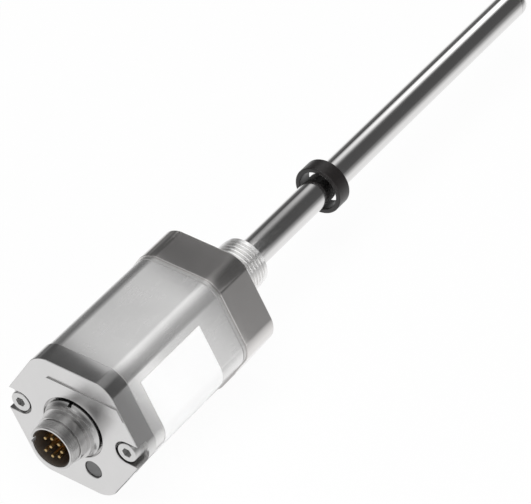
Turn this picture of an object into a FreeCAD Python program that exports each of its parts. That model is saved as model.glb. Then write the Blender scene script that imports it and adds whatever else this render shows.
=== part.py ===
import FreeCAD, Part

import math
import os

from FreeCAD import Vector

# A rod-style magnetostrictive position sensor in millimetres.
# The origin is the centre of the flange's mounting face. +X runs out along the rod, +Z is up, and the
# housing lies on one flat of its hexagon.

# Hexagon of the cap and the flange, and how far the tube stands back from it
hex_flats = 46.0
hex_corner = 7.5
body_step = 0.5
edge_break = 0.3

# Lengths of the housing's pieces along the axis
flange_length = 14.5
collar_length = 1.2
gasket_thickness = 0.5
tube_length = 46.5
cap_thickness = 8.0

# Extruded tube: its wall, and the channels for the tie screws
tube_wall = 3.0
channel_wall = 2.2

# Tie screws (M4 socket head) and the open pockets that their heads sit in
screw_diameter = 4.0
screw_inset = 6.65
screw_engagement = 8.7
screw_hole_clearance = 0.2
tapped_runout = 1.3
head_diameter = 7.0
head_height = 4.0
head_sink = 0.2
head_socket = 3.0
head_socket_depth = 2.2
head_edge = 0.3
pocket_clearance = 0.7
pocket_lip = 0.5

# Threaded spigot (M18) with the O-ring at its root
thread_diameter = 18.0
thread_length = 21.5
thread_chamfer = 0.8
relief_length = 2.2
ring_bore = 15.4
ring_section = 2.1
ring_squeeze = 0.3
ring_room = 0.4

# Pressure rod and its end plug
rod_diameter = 10.2
rod_wall = 1.0
rod_length = 190.0
rod_seat_depth = 6.0
plug_length = 5.0
plug_spigot = 6.0
tip_round = 3.5
passage_pocket = 16.0
passage_pocket_depth = 4.0

# Ring magnet, and where its middle stands at rest
magnet_outer = 17.4
magnet_bore = 14.0
magnet_width = 6.0
magnet_edge = 0.4
magnet_rest = 66.1

# Raised bar on the cap's front
bar_height = 0.5
bar_width = 3.9
bar_margin = 6.6
bar_reach = 9.6
bar_round = 1.5

# Round 8-pin connector (M16) and its seat in the cap
connector_projection = 11.0
connector_thread = 16.0
connector_thread_length = 3.7
connector_chamfer = 0.5
connector_groove = 0.5
connector_collar = 16.6
connector_collar_length = 3.4
connector_step = 18.4
base_lip = 1.05
base_thickness = 1.5
base_sink = 0.3
seal_thickness = 0.8
recess_clearance = 0.75
barrel_diameter = 15.0
barrel_past_nut = 0.7
nut_flats = 18.0
nut_thickness = 2.5
nut_corner = 0.8
nut_pocket = 23.0
nut_pocket_depth = 3.0
mouth_rim = 0.6
mouth_depth = 9.2
insert_shoulder = 0.8
insert_face = 2.2
key_width = 1.8
key_depth = 1.4
notch_width = 1.2
notch_depth = 1.4
notch_run = 0.9
pin_diameter = 1.1
pin_circle = 7.1
middle_pin_shift = 0.5
pin_sink = 0.45
pin_cup = 1.2
pin_slots = 8

# Status window: a light guide in a round recess, with its lamp behind it
window_recess = 6.3
window_depth = 2.0
window_web = 1.45
window_angle = 243.0
window_thickness = 1.0
guide_diameter = 4.2
guide_setback = 0.8
lamp_size = 2.0
lamp_height = 1.5
lamp_board = 7.0
lamp_board_thickness = 1.0

# White foil label on one face and round the corner
label_thickness = 0.15
label_margin = 4.7
label_length = 30.5
label_reach = 19.6

# Moulded cradle for the electronics, and the circuit board that slides into its bulkheads
bulkhead_thickness = 2.8
rear_bulkhead_gap = 2.2
cradle_floor_height = 12.0
cradle_floor_thickness = 2.0
cradle_floor_width = 28.0
pedestal_width = 7.0
lead_web = 1.0
board_height = 8.0
board_thickness = 1.6
board_width = 30.0
board_tongue = 1.0
header_length = 6.0
header_width = 12.0
header_height = 3.5
lead_gap = 3.0
chip_height = 1.5
chip_pitch = 9.8
processor_side = 9.0
timer_length = 5.0
timer_width = 6.2
driver_length = 5.0
driver_width = 4.0
capacitor_diameter = 5.0
capacitor_height = 5.0
capacitor_pitch = 7.0
capacitor_count = 3

# Leads from the connector to the header
lead_diameter = 4.4
lead_bend = 3.0
fan_length = 2.5
fan_diameter = 9.2

# Waveguide wire with its sleeve, return wire, dampers and crimp
wire_diameter = 0.7
sleeve_outer = 3.0
sleeve_bore = 1.2
damping_zone = 34.0
spacer_count = 7
spacer_width = 3.0
return_diameter = 0.8
return_offset = 2.6
return_rise = 6.4
return_bend = 0.9
damper_length = 14.0
crimp_gap = 2.0
crimp_length = 3.0
crimp_wall = 0.5

# Pickup at the head end of the wire
bobbin_length = 12.0
bobbin_flange = 9.0
bobbin_flange_width = 1.2
bobbin_core = 3.8
coil_outer = 8.4
bias_length = 7.0
bias_width = 4.0
bias_height = 2.5
block_size = 6.0
block_gap = 1.0
head_damper_length = 6.0
anchor_length = 5.5

# Small gaps: sliding seats, and room around what passes through a hole
seat_gap = 0.02
slide_gap = 0.15

# Stations along the axis that follow from the lengths
flange_front = -flange_length
collar_front = flange_front - collar_length
tube_end = collar_front - gasket_thickness
tube_start = tube_end - tube_length
cap_back = tube_start - gasket_thickness
cap_front = cap_back - cap_thickness
pocket_floor = cap_front + head_sink + head_height
recess_floor = cap_front + base_sink + base_thickness + seal_thickness
nut_front = cap_back - nut_pocket_depth
nut_back = nut_front + nut_thickness
barrel_end = nut_back + barrel_past_nut
mouth = cap_front - connector_projection
mouth_shoulder = mouth + mouth_depth
ring_floor = ring_squeeze - ring_section
rod_seat = -rod_seat_depth
rod_tube_end = rod_length - plug_length

# Sections that follow from the sizes
body_flats = hex_flats - 2 * body_step
body_corner = hex_corner - body_step
inner_flats = body_flats - 2 * tube_wall
inner_corner = max(body_corner - tube_wall, edge_break)
screw_offset = hex_flats / math.sqrt(3) - screw_inset
screw_hole = screw_diameter / 2 + screw_hole_clearance
pocket_radius = head_diameter / 2 + pocket_clearance
channel_radius = screw_hole + channel_wall
rod_bore = rod_diameter / 2 - rod_wall
connector_base = connector_step + 2 * base_lip
recess_radius = connector_base / 2 + recess_clearance
mouth_diameter = connector_thread - 2 * (connector_chamfer + mouth_rim)
insert_rear_diameter = mouth_diameter - 2 * insert_shoulder
window_radius = recess_radius + window_web + window_recess / 2
window_y = window_radius * math.cos(math.radians(window_angle))
window_z = window_radius * math.sin(math.radians(window_angle))
lead_opening = 2 * (board_height - lead_web)

# Places of the inner pieces
front_bulkhead_back = collar_front - bulkhead_thickness
rear_bulkhead_front = tube_start + rear_bulkhead_gap
rear_bulkhead_back = rear_bulkhead_front + bulkhead_thickness
bobbin_start = front_bulkhead_back - bobbin_length
damper_end = bobbin_start - block_gap
damper_start = damper_end - head_damper_length
anchor_end = damper_start - block_gap
anchor_start = anchor_end - anchor_length
lead_rise = anchor_start - lead_gap - lead_diameter / 2
header_start = lead_rise - header_length / 2
bias_start = bobbin_start + (bobbin_length - bias_length) / 2
bias_top = -bobbin_flange / 2
lamp_start = cap_back - guide_setback
lamp_seat = lamp_start + lamp_height + lamp_board_thickness
tip_damper_start = rod_length - damping_zone
tip_damper_end = tip_damper_start + damper_length
crimp_start = tip_damper_end + crimp_gap
crimp_end = crimp_start + crimp_length
sleeve_start = front_bulkhead_back + board_tongue
sleeve_end = tip_damper_start - seat_gap

AXIS = Vector(1, 0, 0)
SIDES = (1, -1)


def around(angle, radius=1.0):
    """A vector across the axis at an angle in degrees, measured from +Y towards +Z."""
    turn = math.radians(angle)
    return Vector(0, radius * math.cos(turn), radius * math.sin(turn))


def hexagon(flats, corner, x0, x1):
    """A hexagonal prism along the axis with rounded corners, a flat on top and corners at both sides."""
    spread = (flats / 2 - corner) / math.cos(math.radians(30))
    edges = []
    for k in range(6):
        middle = Vector(x0, 0, 0) + around(60 * k, spread)
        first, crown, last = (middle + around(60 * k + a, corner) for a in (-30, 0, 30))
        following = Vector(x0, 0, 0) + around(60 * k + 60, spread) + around(60 * k + 30, corner)
        edges.append(Part.Arc(first, crown, last).toShape())
        edges.append(Part.LineSegment(last, following).toShape())
    return Part.Face(Part.Wire(edges)).extrude(AXIS * (x1 - x0))


def rod(diameter, x0, x1, y=0.0, z=0.0):
    """A round bar parallel to the axis."""
    return Part.makeCylinder(diameter / 2, x1 - x0, Vector(x0, y, z), AXIS)


def pipe(outer, inner, x0, x1):
    """A round tube on the axis."""
    return rod(outer, x0, x1).cut(rod(inner, x0, x1))


def block(x0, x1, y0, y1, z0, z1):
    """A box between two corners."""
    return Part.makeBox(x1 - x0, y1 - y0, z1 - z0, Vector(x0, y0, z0))


def turned(profile):
    """A solid turned about the axis from (station, radius) points."""
    points = [Vector(x, 0, r) for x, r in profile]
    return Part.Face(Part.makePolygon(points + points[:1])).revolve(Vector(0, 0, 0), AXIS, 360)


def edges_at(shape, x):
    """The edges of a shape that lie in the plane across the axis at a station."""
    return [e for e in shape.Edges if all(abs(v.X - x) < 1e-6 for v in e.Vertexes)]


def wire_along(points, diameter, bend):
    """A round wire along straight runs joined by tangent arcs, in one plane."""
    edges = []
    start = points[0]
    for before, corner, after in zip(points, points[1:], points[2:]):
        into = (corner - before).normalize()
        out = (after - corner).normalize()
        half = into.getAngle(out) / 2
        reach = bend * math.tan(half)
        first = corner - into * reach
        last = corner + out * reach
        inward = (out - into).normalize()
        crown = corner + inward * (bend / math.cos(half) - bend)
        edges.append(Part.LineSegment(start, first).toShape())
        edges.append(Part.Arc(first, crown, last).toShape())
        start = last
    edges.append(Part.LineSegment(start, points[-1]).toShape())
    path = Part.Wire(edges)
    section = Part.Wire(Part.makeCircle(diameter / 2, points[0], points[1] - points[0]))
    return path.makePipeShell([section], True, False)


def at_screws(make):
    """The same shape at the two screw places, left and right of the axis."""
    first, second = (make(side * screw_offset) for side in SIDES)
    return first.fuse(second)


def tube_section(flats, corner, x0, x1):
    """The tube's extruded profile: hexagonal wall with a drilled channel in the left and right corners."""
    outside = hexagon(flats, corner, x0, x1)
    hollow = hexagon(inner_flats, inner_corner, x0, x1)
    channels = at_screws(lambda y: rod(2 * channel_radius, x0, x1, y))
    holes = at_screws(lambda y: rod(2 * screw_hole, x0, x1, y))
    return outside.cut(hollow.cut(channels)).cut(holes)


def mounting_flange():
    """Hexagon, collar and spigot in one piece, bored for the rod and tapped for the tie screws."""
    head = hexagon(hex_flats, hex_corner, flange_front, 0)
    head = head.makeChamfer(edge_break, edges_at(head, 0) + edges_at(head, flange_front))
    collar = hexagon(body_flats, body_corner, collar_front, flange_front)
    groove = pipe(ring_bore + 2 * (ring_section + ring_room), ring_bore, ring_floor, 0)
    spigot = turned([
        (ring_floor, 0), (ring_floor, ring_bore / 2), (relief_length, ring_bore / 2),
        (relief_length + thread_chamfer, thread_diameter / 2),
        (thread_length - thread_chamfer, thread_diameter / 2),
        (thread_length, thread_diameter / 2 - thread_chamfer), (thread_length, 0)])
    body = head.fuse([collar, spigot]).cut(groove)
    body = body.cut(rod(rod_diameter + 2 * seat_gap, rod_seat, thread_length))
    body = body.cut(rod(2 * rod_bore, collar_front, rod_seat))
    body = body.cut(rod(passage_pocket, collar_front, collar_front + passage_pocket_depth))
    tapped_end = collar_front + screw_engagement + tapped_runout
    tapped = screw_diameter + 2 * seat_gap
    return body.cut(at_screws(lambda y: rod(tapped, collar_front, tapped_end, y))).removeSplitter()


def flange_o_ring():
    """O-ring at the root of the thread, proud of the mounting face by its squeeze."""
    section = ring_section / 2 - seat_gap
    return Part.makeTorus(ring_bore / 2 + ring_section / 2, section,
                          Vector(ring_floor + ring_section / 2, 0, 0), AXIS)


def sensing_rod():
    """Thin-walled pressure tube, seated in the flange."""
    return pipe(rod_diameter, 2 * rod_bore, rod_seat, rod_tube_end)


def rod_end_plug():
    """Rounded end of the rod, with a spigot that sits in the tube."""
    cap = rod(rod_diameter, rod_tube_end, rod_length)
    cap = cap.makeFillet(tip_round, edges_at(cap, rod_length))
    spigot = rod(2 * (rod_bore - seat_gap), rod_tube_end - plug_spigot, rod_tube_end)
    return cap.fuse(spigot).removeSplitter()


def position_magnet():
    """Ring magnet around the rod, with a running gap all round."""
    start = magnet_rest - magnet_width / 2
    ring = pipe(magnet_outer, magnet_bore, start, start + magnet_width)
    return ring.makeChamfer(magnet_edge, edges_at(ring, start) + edges_at(ring, start + magnet_width))


def screw_pocket(y):
    """Pocket for a screw head, open towards the nearest corner of the hexagon."""
    way_out = math.copysign(hex_flats, y)
    slot = block(cap_front, pocket_floor, min(y, way_out), max(y, way_out), -pocket_radius, pocket_radius)
    return slot.fuse(rod(2 * pocket_radius, cap_front, pocket_floor, y))


def raised_bar():
    """Shallow bar across the upper part of the cap's front, rounded at its left end."""
    top = hex_flats / 2 - bar_margin
    bar = block(cap_front - bar_height, cap_front, -hex_flats, bar_reach, top - bar_width, top)
    left = [e for e in bar.Edges if all(abs(v.Y - bar_reach) < 1e-6 for v in e.Vertexes)]
    bar = bar.makeFillet(bar_round, [e for e in left if abs(e.Length - bar_height) < 1e-6])
    outline = hexagon(hex_flats - 2 * edge_break, hex_corner - edge_break, cap_front - bar_height, cap_front)
    return bar.common(outline)


def pocket_lips(cap):
    """The edges along the axis where the open pockets meet the cap's outside."""
    along = [e for e in cap.Edges if len(e.Vertexes) == 2 and abs(e.Vertexes[0].X - e.Vertexes[1].X) > 1e-6]
    return [e for e in along if all(abs(abs(v.Z) - pocket_radius) < 1e-6 and abs(v.Y) > screw_offset + 1e-6
                                    for v in e.Vertexes)]


def rear_cap():
    """End cap with screw pockets, connector seat, window recess and raised bar."""
    cap = hexagon(hex_flats, hex_corner, cap_front, cap_back)
    cap = cap.cut(screw_pocket(screw_offset)).cut(screw_pocket(-screw_offset))
    cap = cap.makeFillet(pocket_lip, pocket_lips(cap))
    cap = cap.makeChamfer(edge_break, edges_at(cap, cap_front) + edges_at(cap, cap_back))
    cap = cap.fuse(raised_bar())
    cap = cap.cut(at_screws(lambda y: rod(2 * screw_hole, pocket_floor, cap_back, y)))
    cap = cap.cut(rod(2 * recess_radius, cap_front, recess_floor))
    cap = cap.cut(rod(barrel_diameter + 2 * seat_gap, recess_floor, cap_back))
    cap = cap.cut(rod(nut_pocket, nut_front, cap_back))
    cap = cap.cut(rod(window_recess, cap_front, cap_front + window_depth, window_y, window_z))
    guide_hole = guide_diameter + 2 * slide_gap
    return cap.cut(rod(guide_hole, cap_front, cap_back, window_y, window_z)).removeSplitter()


def tie_screw(y):
    """One socket head screw, from the cap's pocket to the tapped hole in the flange."""
    top = cap_front + head_sink
    head = rod(head_diameter, top, pocket_floor, y)
    head = head.makeChamfer(head_edge, edges_at(head, top))
    shank = rod(screw_diameter, pocket_floor, collar_front + screw_engagement, y)
    socket = hexagon(head_socket, edge_break, top, top + head_socket_depth)
    return head.fuse(shank).removeSplitter().cut(socket.translate(Vector(0, y, 0)))


def tie_screws():
    """Both tie screws."""
    return Part.makeCompound([tie_screw(side * screw_offset) for side in SIDES])


def gasket(x0):
    """Flat seal with the tube's own profile, set back a little from the outside."""
    return tube_section(body_flats - 2 * body_step, body_corner - body_step, x0, x0 + gasket_thickness)


def label():
    """Foil on the face at the right, wrapped round the corner to the next face."""
    start = tube_start + label_margin
    end = start + label_length
    foil = hexagon(body_flats + 2 * label_thickness, body_corner + label_thickness, start, end)
    foil = foil.cut(hexagon(body_flats, body_corner, start, end))
    corner = around(180, body_flats / math.sqrt(3))
    limits = []
    for normal_angle, along_angle in ((150, 60), (210, -60)):
        edge = corner + around(along_angle, label_reach)
        outward = around(normal_angle, hex_flats / 4)
        limits.append((edge - outward, edge + outward))
    upper, lower = limits
    far = around(180, 2 * hex_flats)
    station = Vector(start, 0, 0)
    outline = [station + p for p in (upper[0], upper[1], far, lower[1], lower[0], upper[0])]
    return foil.common(Part.Face(Part.makePolygon(outline)).extrude(AXIS * label_length))


def connector_shell():
    """Stepped shell: threaded mouth, collar, base flange and the barrel that passes through the cap."""
    thread_end = mouth + connector_thread_length
    collar_start = thread_end + connector_groove
    collar_end = collar_start + connector_collar_length
    base_front = cap_front + base_sink
    base_back = base_front + base_thickness
    outer = connector_thread / 2
    shell = turned([
        (mouth, mouth_diameter / 2), (mouth, outer - connector_chamfer),
        (mouth + connector_chamfer, outer), (thread_end, outer),
        (thread_end, outer - connector_groove), (collar_start, outer - connector_groove),
        (collar_start, connector_collar / 2), (collar_end, connector_collar / 2),
        (collar_end, connector_step / 2), (base_front, connector_step / 2),
        (base_front, connector_base / 2), (base_back, connector_base / 2),
        (base_back, barrel_diameter / 2), (barrel_end, barrel_diameter / 2),
        (barrel_end, insert_rear_diameter / 2), (mouth_shoulder, insert_rear_diameter / 2),
        (mouth_shoulder, mouth_diameter / 2)])
    key = block(mouth, mouth + key_depth, 0, connector_base / 2, -key_width / 2, key_width / 2)
    notch_floor = connector_base / 2 - notch_depth
    notch = block(base_front - notch_run, base_back, -notch_width / 2, notch_width / 2,
                  notch_floor, connector_base / 2)
    return shell.cut(key).cut(notch)


def connector_seal():
    """Flat ring between the connector's base and the floor of its recess."""
    outer = connector_base - recess_clearance
    return pipe(outer, barrel_diameter + 2 * seat_gap, recess_floor - seal_thickness, recess_floor)


def connector_nut():
    """Ring nut that pulls the connector's base onto its seal."""
    nut = hexagon(nut_flats, nut_corner, nut_front, nut_back)
    return nut.cut(rod(barrel_diameter + 2 * seat_gap, nut_front, nut_back))


def pin_places():
    """Places of the contacts: a circle with one slot left free for the key, and one near the middle."""
    ring = [around(360 * k / pin_slots, pin_circle / 2) for k in range(1, pin_slots)]
    return ring + [Vector(0, middle_pin_shift, 0)]


def connector_insert():
    """Contact carrier that sits on the shoulder inside the shell."""
    front = mouth_shoulder - insert_face
    insert = rod(mouth_diameter - 2 * seat_gap, front, mouth_shoulder)
    insert = insert.fuse(rod(insert_rear_diameter - 2 * seat_gap, mouth_shoulder, barrel_end))
    bores = [rod(pin_diameter + 2 * seat_gap, front, barrel_end, p.y, p.z) for p in pin_places()]
    return insert.cut(bores).removeSplitter()


def contact_pin(place):
    """One contact with a tapered tip, long enough to be soldered behind the insert."""
    tip = mouth + pin_sink
    pin = rod(pin_diameter, tip, barrel_end + pin_cup, place.y, place.z)
    return pin.makeChamfer(pin_diameter / 4, edges_at(pin, tip))


def contact_pins():
    """All eight contacts."""
    return Part.makeCompound([contact_pin(place) for place in pin_places()])


def status_window():
    """Light guide: a disc in the round recess, with a stem that leads to the lamp."""
    back = cap_front + window_depth
    disc_front = back - window_thickness
    disc = rod(window_recess - 2 * slide_gap, disc_front, back, window_y, window_z)
    stem = rod(guide_diameter, back, lamp_start, window_y, window_z)
    return disc.fuse(stem).removeSplitter()


def status_led():
    """Lamp behind the light guide."""
    half = lamp_size / 2
    return block(lamp_start, lamp_start + lamp_height, window_y - half, window_y + half,
                 window_z - half, window_z + half)


def led_board():
    """Small round board that carries the lamp."""
    return rod(lamp_board, lamp_seat - lamp_board_thickness, lamp_seat, window_y, window_z)


def bulkhead(x0, x1):
    """Cross wall of the cradle, shaped to slide between the tube's walls and screw channels."""
    wall = hexagon(inner_flats - 2 * slide_gap, inner_corner, x0, x1)
    return wall.cut(at_screws(lambda y: rod(2 * (channel_radius + slide_gap), x0, x1, y)))


def electronics_carrier():
    """Moulded cradle: two bulkheads with board slots, a floor, and pedestals for pickup and wire blocks."""
    floor_top = -cradle_floor_height
    half_floor = cradle_floor_width / 2
    half = pedestal_width / 2
    cradle = bulkhead(front_bulkhead_back, collar_front)
    cradle = cradle.fuse([
        bulkhead(rear_bulkhead_front, rear_bulkhead_back),
        block(rear_bulkhead_front, collar_front, -half_floor, half_floor,
              floor_top - cradle_floor_thickness, floor_top),
        block(anchor_start, damper_end, -half, half, floor_top, -block_size / 2),
        block(bias_start, bias_start + bias_length, -bias_width / 2, bias_width / 2,
              floor_top, bias_top - bias_height),
        rod(lamp_board, lamp_seat, rear_bulkhead_front, window_y, window_z)])
    cradle = cradle.cut(rod(lead_opening, rear_bulkhead_front, rear_bulkhead_back))
    cradle = cradle.cut(rod(sleeve_outer + 2 * slide_gap, front_bulkhead_back, collar_front))
    return_hole = return_diameter + 2 * slide_gap
    cradle = cradle.cut(rod(return_hole, front_bulkhead_back, collar_front, 0, return_rise))
    return cradle.cut(circuit_board()).removeSplitter()


def circuit_board():
    """Main board, held by a tongue at each end in the bulkheads."""
    start = rear_bulkhead_back - board_tongue
    end = front_bulkhead_back + board_tongue
    half = board_width / 2
    return block(start, end, -half, half, board_height, board_height + board_thickness)


def board_chips():
    """Flat packages in a row on the board: a processor, a timer and a line driver."""
    top = board_height + board_thickness
    middle = (rear_bulkhead_back + front_bulkhead_back) / 2
    sizes = ((processor_side, processor_side), (timer_length, timer_width), (driver_length, driver_width))
    chips = []
    for k, (length, width) in enumerate(sizes):
        start = middle + chip_pitch * (k - (len(sizes) - 1) / 2) - length / 2
        chips.append(block(start, start + length, -width / 2, width / 2, top, top + chip_height))
    return Part.makeCompound(chips)


def board_capacitors():
    """Round capacitors in a row beside the chips."""
    top = Vector(0, board_width / 2 - capacitor_diameter, board_height + board_thickness)
    middle = (rear_bulkhead_back + front_bulkhead_back) / 2
    cans = []
    for k in range(capacitor_count):
        place = top + AXIS * (middle + capacitor_pitch * (k - (capacitor_count - 1) / 2))
        cans.append(Part.makeCylinder(capacitor_diameter / 2, capacitor_height, place))
    return Part.makeCompound(cans)


def lead_header():
    """Header under the board that the leads are plugged into."""
    half = header_width / 2
    return block(header_start, header_start + header_length, -half, half,
                 board_height - header_height, board_height)


def lead_bundle():
    """Sleeved leads: a fan at the contacts, then a bundle that bends up to the header."""
    start = barrel_end + pin_cup
    fan_end = start + fan_length
    fan = turned([(start, 0), (start, fan_diameter / 2), (fan_end, lead_diameter / 2), (fan_end, 0)])
    top = board_height - header_height
    route = [Vector(fan_end, 0, 0), Vector(lead_rise, 0, 0), Vector(lead_rise, 0, top)]
    return fan.fuse(wire_along(route, lead_diameter, lead_bend)).removeSplitter()


def waveguide_wire():
    """Magnetostrictive wire from the anchor block to the crimp at the tip."""
    return rod(wire_diameter, anchor_start, crimp_end)


def waveguide_sleeve():
    """Plastic sleeve that carries the wire through the flange and the rod."""
    return pipe(sleeve_outer, sleeve_bore, sleeve_start, sleeve_end)


def rod_filler(x0, x1, bore):
    """Round piece that fills the rod's bore, drilled for the wire on the axis and for the return wire."""
    body = pipe(2 * rod_bore - 2 * seat_gap, bore + 2 * seat_gap, x0, x1)
    return body.cut(rod(return_diameter + 2 * seat_gap, x0, x1, 0, return_offset))


def sleeve_spacers():
    """Rings along the rod that centre the sleeve."""
    pitch = (sleeve_end - spacer_width) / spacer_count
    starts = [pitch * (k + 0.5) for k in range(spacer_count)]
    return Part.makeCompound([rod_filler(x, x + spacer_width, sleeve_outer) for x in starts])


def tip_damper():
    """Rubber piece round the wire's far end."""
    return rod_filler(tip_damper_start, tip_damper_end, wire_diameter)


def tip_crimp():
    """Metal crimp that joins the wire to the return wire."""
    half = return_diameter / 2 + crimp_wall
    crimp = block(crimp_start, crimp_end, -half, half, -half, return_offset + half)
    crimp = crimp.cut(rod(wire_diameter + 2 * seat_gap, crimp_start, crimp_end))
    return crimp.cut(rod(return_diameter + 2 * seat_gap, crimp_start, crimp_end, 0, return_offset))


def return_wire():
    """Insulated conductor from the crimp back through the rod and the flange to the board."""
    pocket_floor_x = collar_front + passage_pocket_depth
    pocket_middle = collar_front + passage_pocket_depth / 3
    landing = front_bulkhead_back - bulkhead_thickness
    route = [Vector(crimp_end, 0, return_offset), Vector(pocket_floor_x, 0, return_offset),
             Vector(pocket_middle, 0, return_rise), Vector(landing, 0, return_rise),
             Vector(landing, 0, board_height)]
    return wire_along(route, return_diameter, return_bend)


def pickup_bobbin():
    """Spool for the pickup coil, seated on the front bulkhead."""
    spool = rod(bobbin_core, bobbin_start, front_bulkhead_back)
    for start in (bobbin_start, front_bulkhead_back - bobbin_flange_width):
        spool = spool.fuse(rod(bobbin_flange, start, start + bobbin_flange_width))
    return spool.cut(rod(sleeve_bore, bobbin_start, front_bulkhead_back)).removeSplitter()


def pickup_coil():
    """Winding between the spool's flanges."""
    start = bobbin_start + bobbin_flange_width
    end = front_bulkhead_back - bobbin_flange_width
    return pipe(coil_outer, bobbin_core + 2 * seat_gap, start, end)


def bias_magnet():
    """Small bar magnet under the coil, on its own pedestal."""
    half = bias_width / 2
    return block(bias_start, bias_start + bias_length, -half, half, bias_top - bias_height, bias_top)


def wire_block(x0, x1):
    """Square block on the wire, standing on the cradle's pedestal."""
    half = block_size / 2
    body = block(x0, x1, -half, half, -half, half)
    return body.cut(rod(wire_diameter + 2 * seat_gap, x0, x1))


PIECES = {
    "rear_cap": rear_cap,
    "tie_screws": tie_screws,
    "cap_gasket": lambda: gasket(cap_back),
    "housing_tube": lambda: tube_section(body_flats, body_corner, tube_start, tube_end),
    "label": label,
    "flange_gasket": lambda: gasket(tube_end),
    "mounting_flange": mounting_flange,
    "flange_o_ring": flange_o_ring,
    "sensing_rod": sensing_rod,
    "rod_end_plug": rod_end_plug,
    "position_magnet": position_magnet,
    "connector_shell": connector_shell,
    "connector_seal": connector_seal,
    "connector_nut": connector_nut,
    "connector_insert": connector_insert,
    "contact_pins": contact_pins,
    "status_window": status_window,
    "status_led": status_led,
    "led_board": led_board,
    "electronics_carrier": electronics_carrier,
    "circuit_board": circuit_board,
    "board_chips": board_chips,
    "board_capacitors": board_capacitors,
    "lead_header": lead_header,
    "lead_bundle": lead_bundle,
    "waveguide_wire": waveguide_wire,
    "waveguide_sleeve": waveguide_sleeve,
    "sleeve_spacers": sleeve_spacers,
    "tip_damper": tip_damper,
    "tip_crimp": tip_crimp,
    "return_wire": return_wire,
    "pickup_bobbin": pickup_bobbin,
    "pickup_coil": pickup_coil,
    "bias_magnet": bias_magnet,
    "head_damper": lambda: wire_block(damper_start, damper_end),
    "wire_anchor": lambda: wire_block(anchor_start, anchor_end),
}

os.makedirs("parts", exist_ok=True)
for name, make in PIECES.items():
    shape = make()
    shape.exportStep(f"parts/{name}.step")
    print(f"{name}: {len(shape.Solids)} solid(s), {shape.Volume:.1f} mm3")
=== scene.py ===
import logging
import math
from contextlib import contextmanager
from dataclasses import dataclass, field
from enum import Enum
from typing import Any, Callable, ClassVar, Iterator

import bpy
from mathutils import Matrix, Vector


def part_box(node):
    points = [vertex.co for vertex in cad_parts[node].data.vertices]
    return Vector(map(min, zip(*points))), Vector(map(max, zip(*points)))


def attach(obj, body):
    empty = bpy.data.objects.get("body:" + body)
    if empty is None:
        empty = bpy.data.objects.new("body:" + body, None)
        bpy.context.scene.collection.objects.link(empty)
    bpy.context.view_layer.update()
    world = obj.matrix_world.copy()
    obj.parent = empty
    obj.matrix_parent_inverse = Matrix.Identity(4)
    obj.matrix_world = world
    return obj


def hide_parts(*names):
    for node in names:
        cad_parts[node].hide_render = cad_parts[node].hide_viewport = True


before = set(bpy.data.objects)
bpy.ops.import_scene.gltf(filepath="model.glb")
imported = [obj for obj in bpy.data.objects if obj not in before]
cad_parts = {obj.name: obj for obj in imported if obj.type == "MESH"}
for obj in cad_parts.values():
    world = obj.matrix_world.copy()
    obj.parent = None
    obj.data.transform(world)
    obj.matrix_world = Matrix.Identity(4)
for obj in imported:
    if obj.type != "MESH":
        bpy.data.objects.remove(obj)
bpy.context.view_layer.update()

# A rod-style position sensor, dressed in metal, plastic and rubber on a pale studio floor.
# Sizes are in millimetres. +X runs along the rod, +Z is up, and the origin is on the mounting face.

MM = 0.001

# Facets of a full circle, from the large turned pieces down to the pins, and of a rounded long corner.
ROUND = 96
MID_ROUND = 64
SMALL_ROUND = 48
PIN_ROUND = 24
CORNER_STEPS = 16

# Places nearer than TINY are one place, cutters run PAST a face, and a piece sits with SEAT to spare.
TINY = 1e-3
WELD = 1e-7
PAST = 1.0
SEAT = 0.02
FACING = 0.9
SHARP_ANGLE = math.radians(28)

# The two tie screws lie at +Y and -Y, and a bar of this height stands on the rear cap.
SIDES = (1, -1)
SCREW_OFFSET = 19.908
BAR_HEIGHT = 0.5

WHITE = (1.0, 1.0, 1.0, 1.0)

log = logging.getLogger("sensor")

Point = tuple[float, float, float]
Colour = tuple[float, float, float]
Profile = list[tuple[float, float]]
PointTest = Callable[[Vector], bool]
PairTest = Callable[[Vector, Vector], bool]


class Pick(Enum):
    """What a selection is made of."""

    POINTS = (True, False, False)
    EDGES = (False, True, False)
    FACES = (False, False, True)


class Join(Enum):
    """How two solids are put together."""

    CUT = "DIFFERENCE"
    FUSE = "UNION"
    KEEP_COMMON = "INTERSECT"


class Grain(Enum):
    """Which way the fine lines of a worked metal run."""

    ALONG = "along the axis"
    AROUND = "around the axis"
    ACROSS = "across a flat"


def start_of(node: str) -> float:
    """Station of a CAD node's rear end along the axis, in millimetres."""
    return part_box(node)[0].x / MM


def end_of(node: str) -> float:
    """Station of a CAD node's front end along the axis, in millimetres."""
    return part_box(node)[1].x / MM


def middle_of(node: str) -> tuple[float, float]:
    """The (y, z) middle of a CAD node in millimetres."""
    corner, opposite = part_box(node)
    return (corner.y + opposite.y) / 2 / MM, (corner.z + opposite.z) / 2 / MM


def around(angle: float, radius: float) -> tuple[float, float]:
    """The (y, z) point at an angle in degrees from +Y towards +Z."""
    turn = math.radians(angle)
    return radius * math.cos(turn), radius * math.sin(turn)


def at_station(x: float) -> PairTest:
    """A test for edges that lie in the plane across the axis at a station."""
    return lambda a, b: abs(a.x - x) < TINY and abs(b.x - x) < TINY


def at_ring(x: float, radius: float) -> PairTest:
    """A test for the edges of a circle about the axis at a station."""
    return lambda a, b: all(
        abs(p.x - x) < TINY and abs(math.hypot(p.y, p.z) - radius) < TINY for p in (a, b))


def metres(place: Point) -> tuple[float, ...]:
    """A place or a distance in metres."""
    return tuple(part * MM for part in place)


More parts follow.
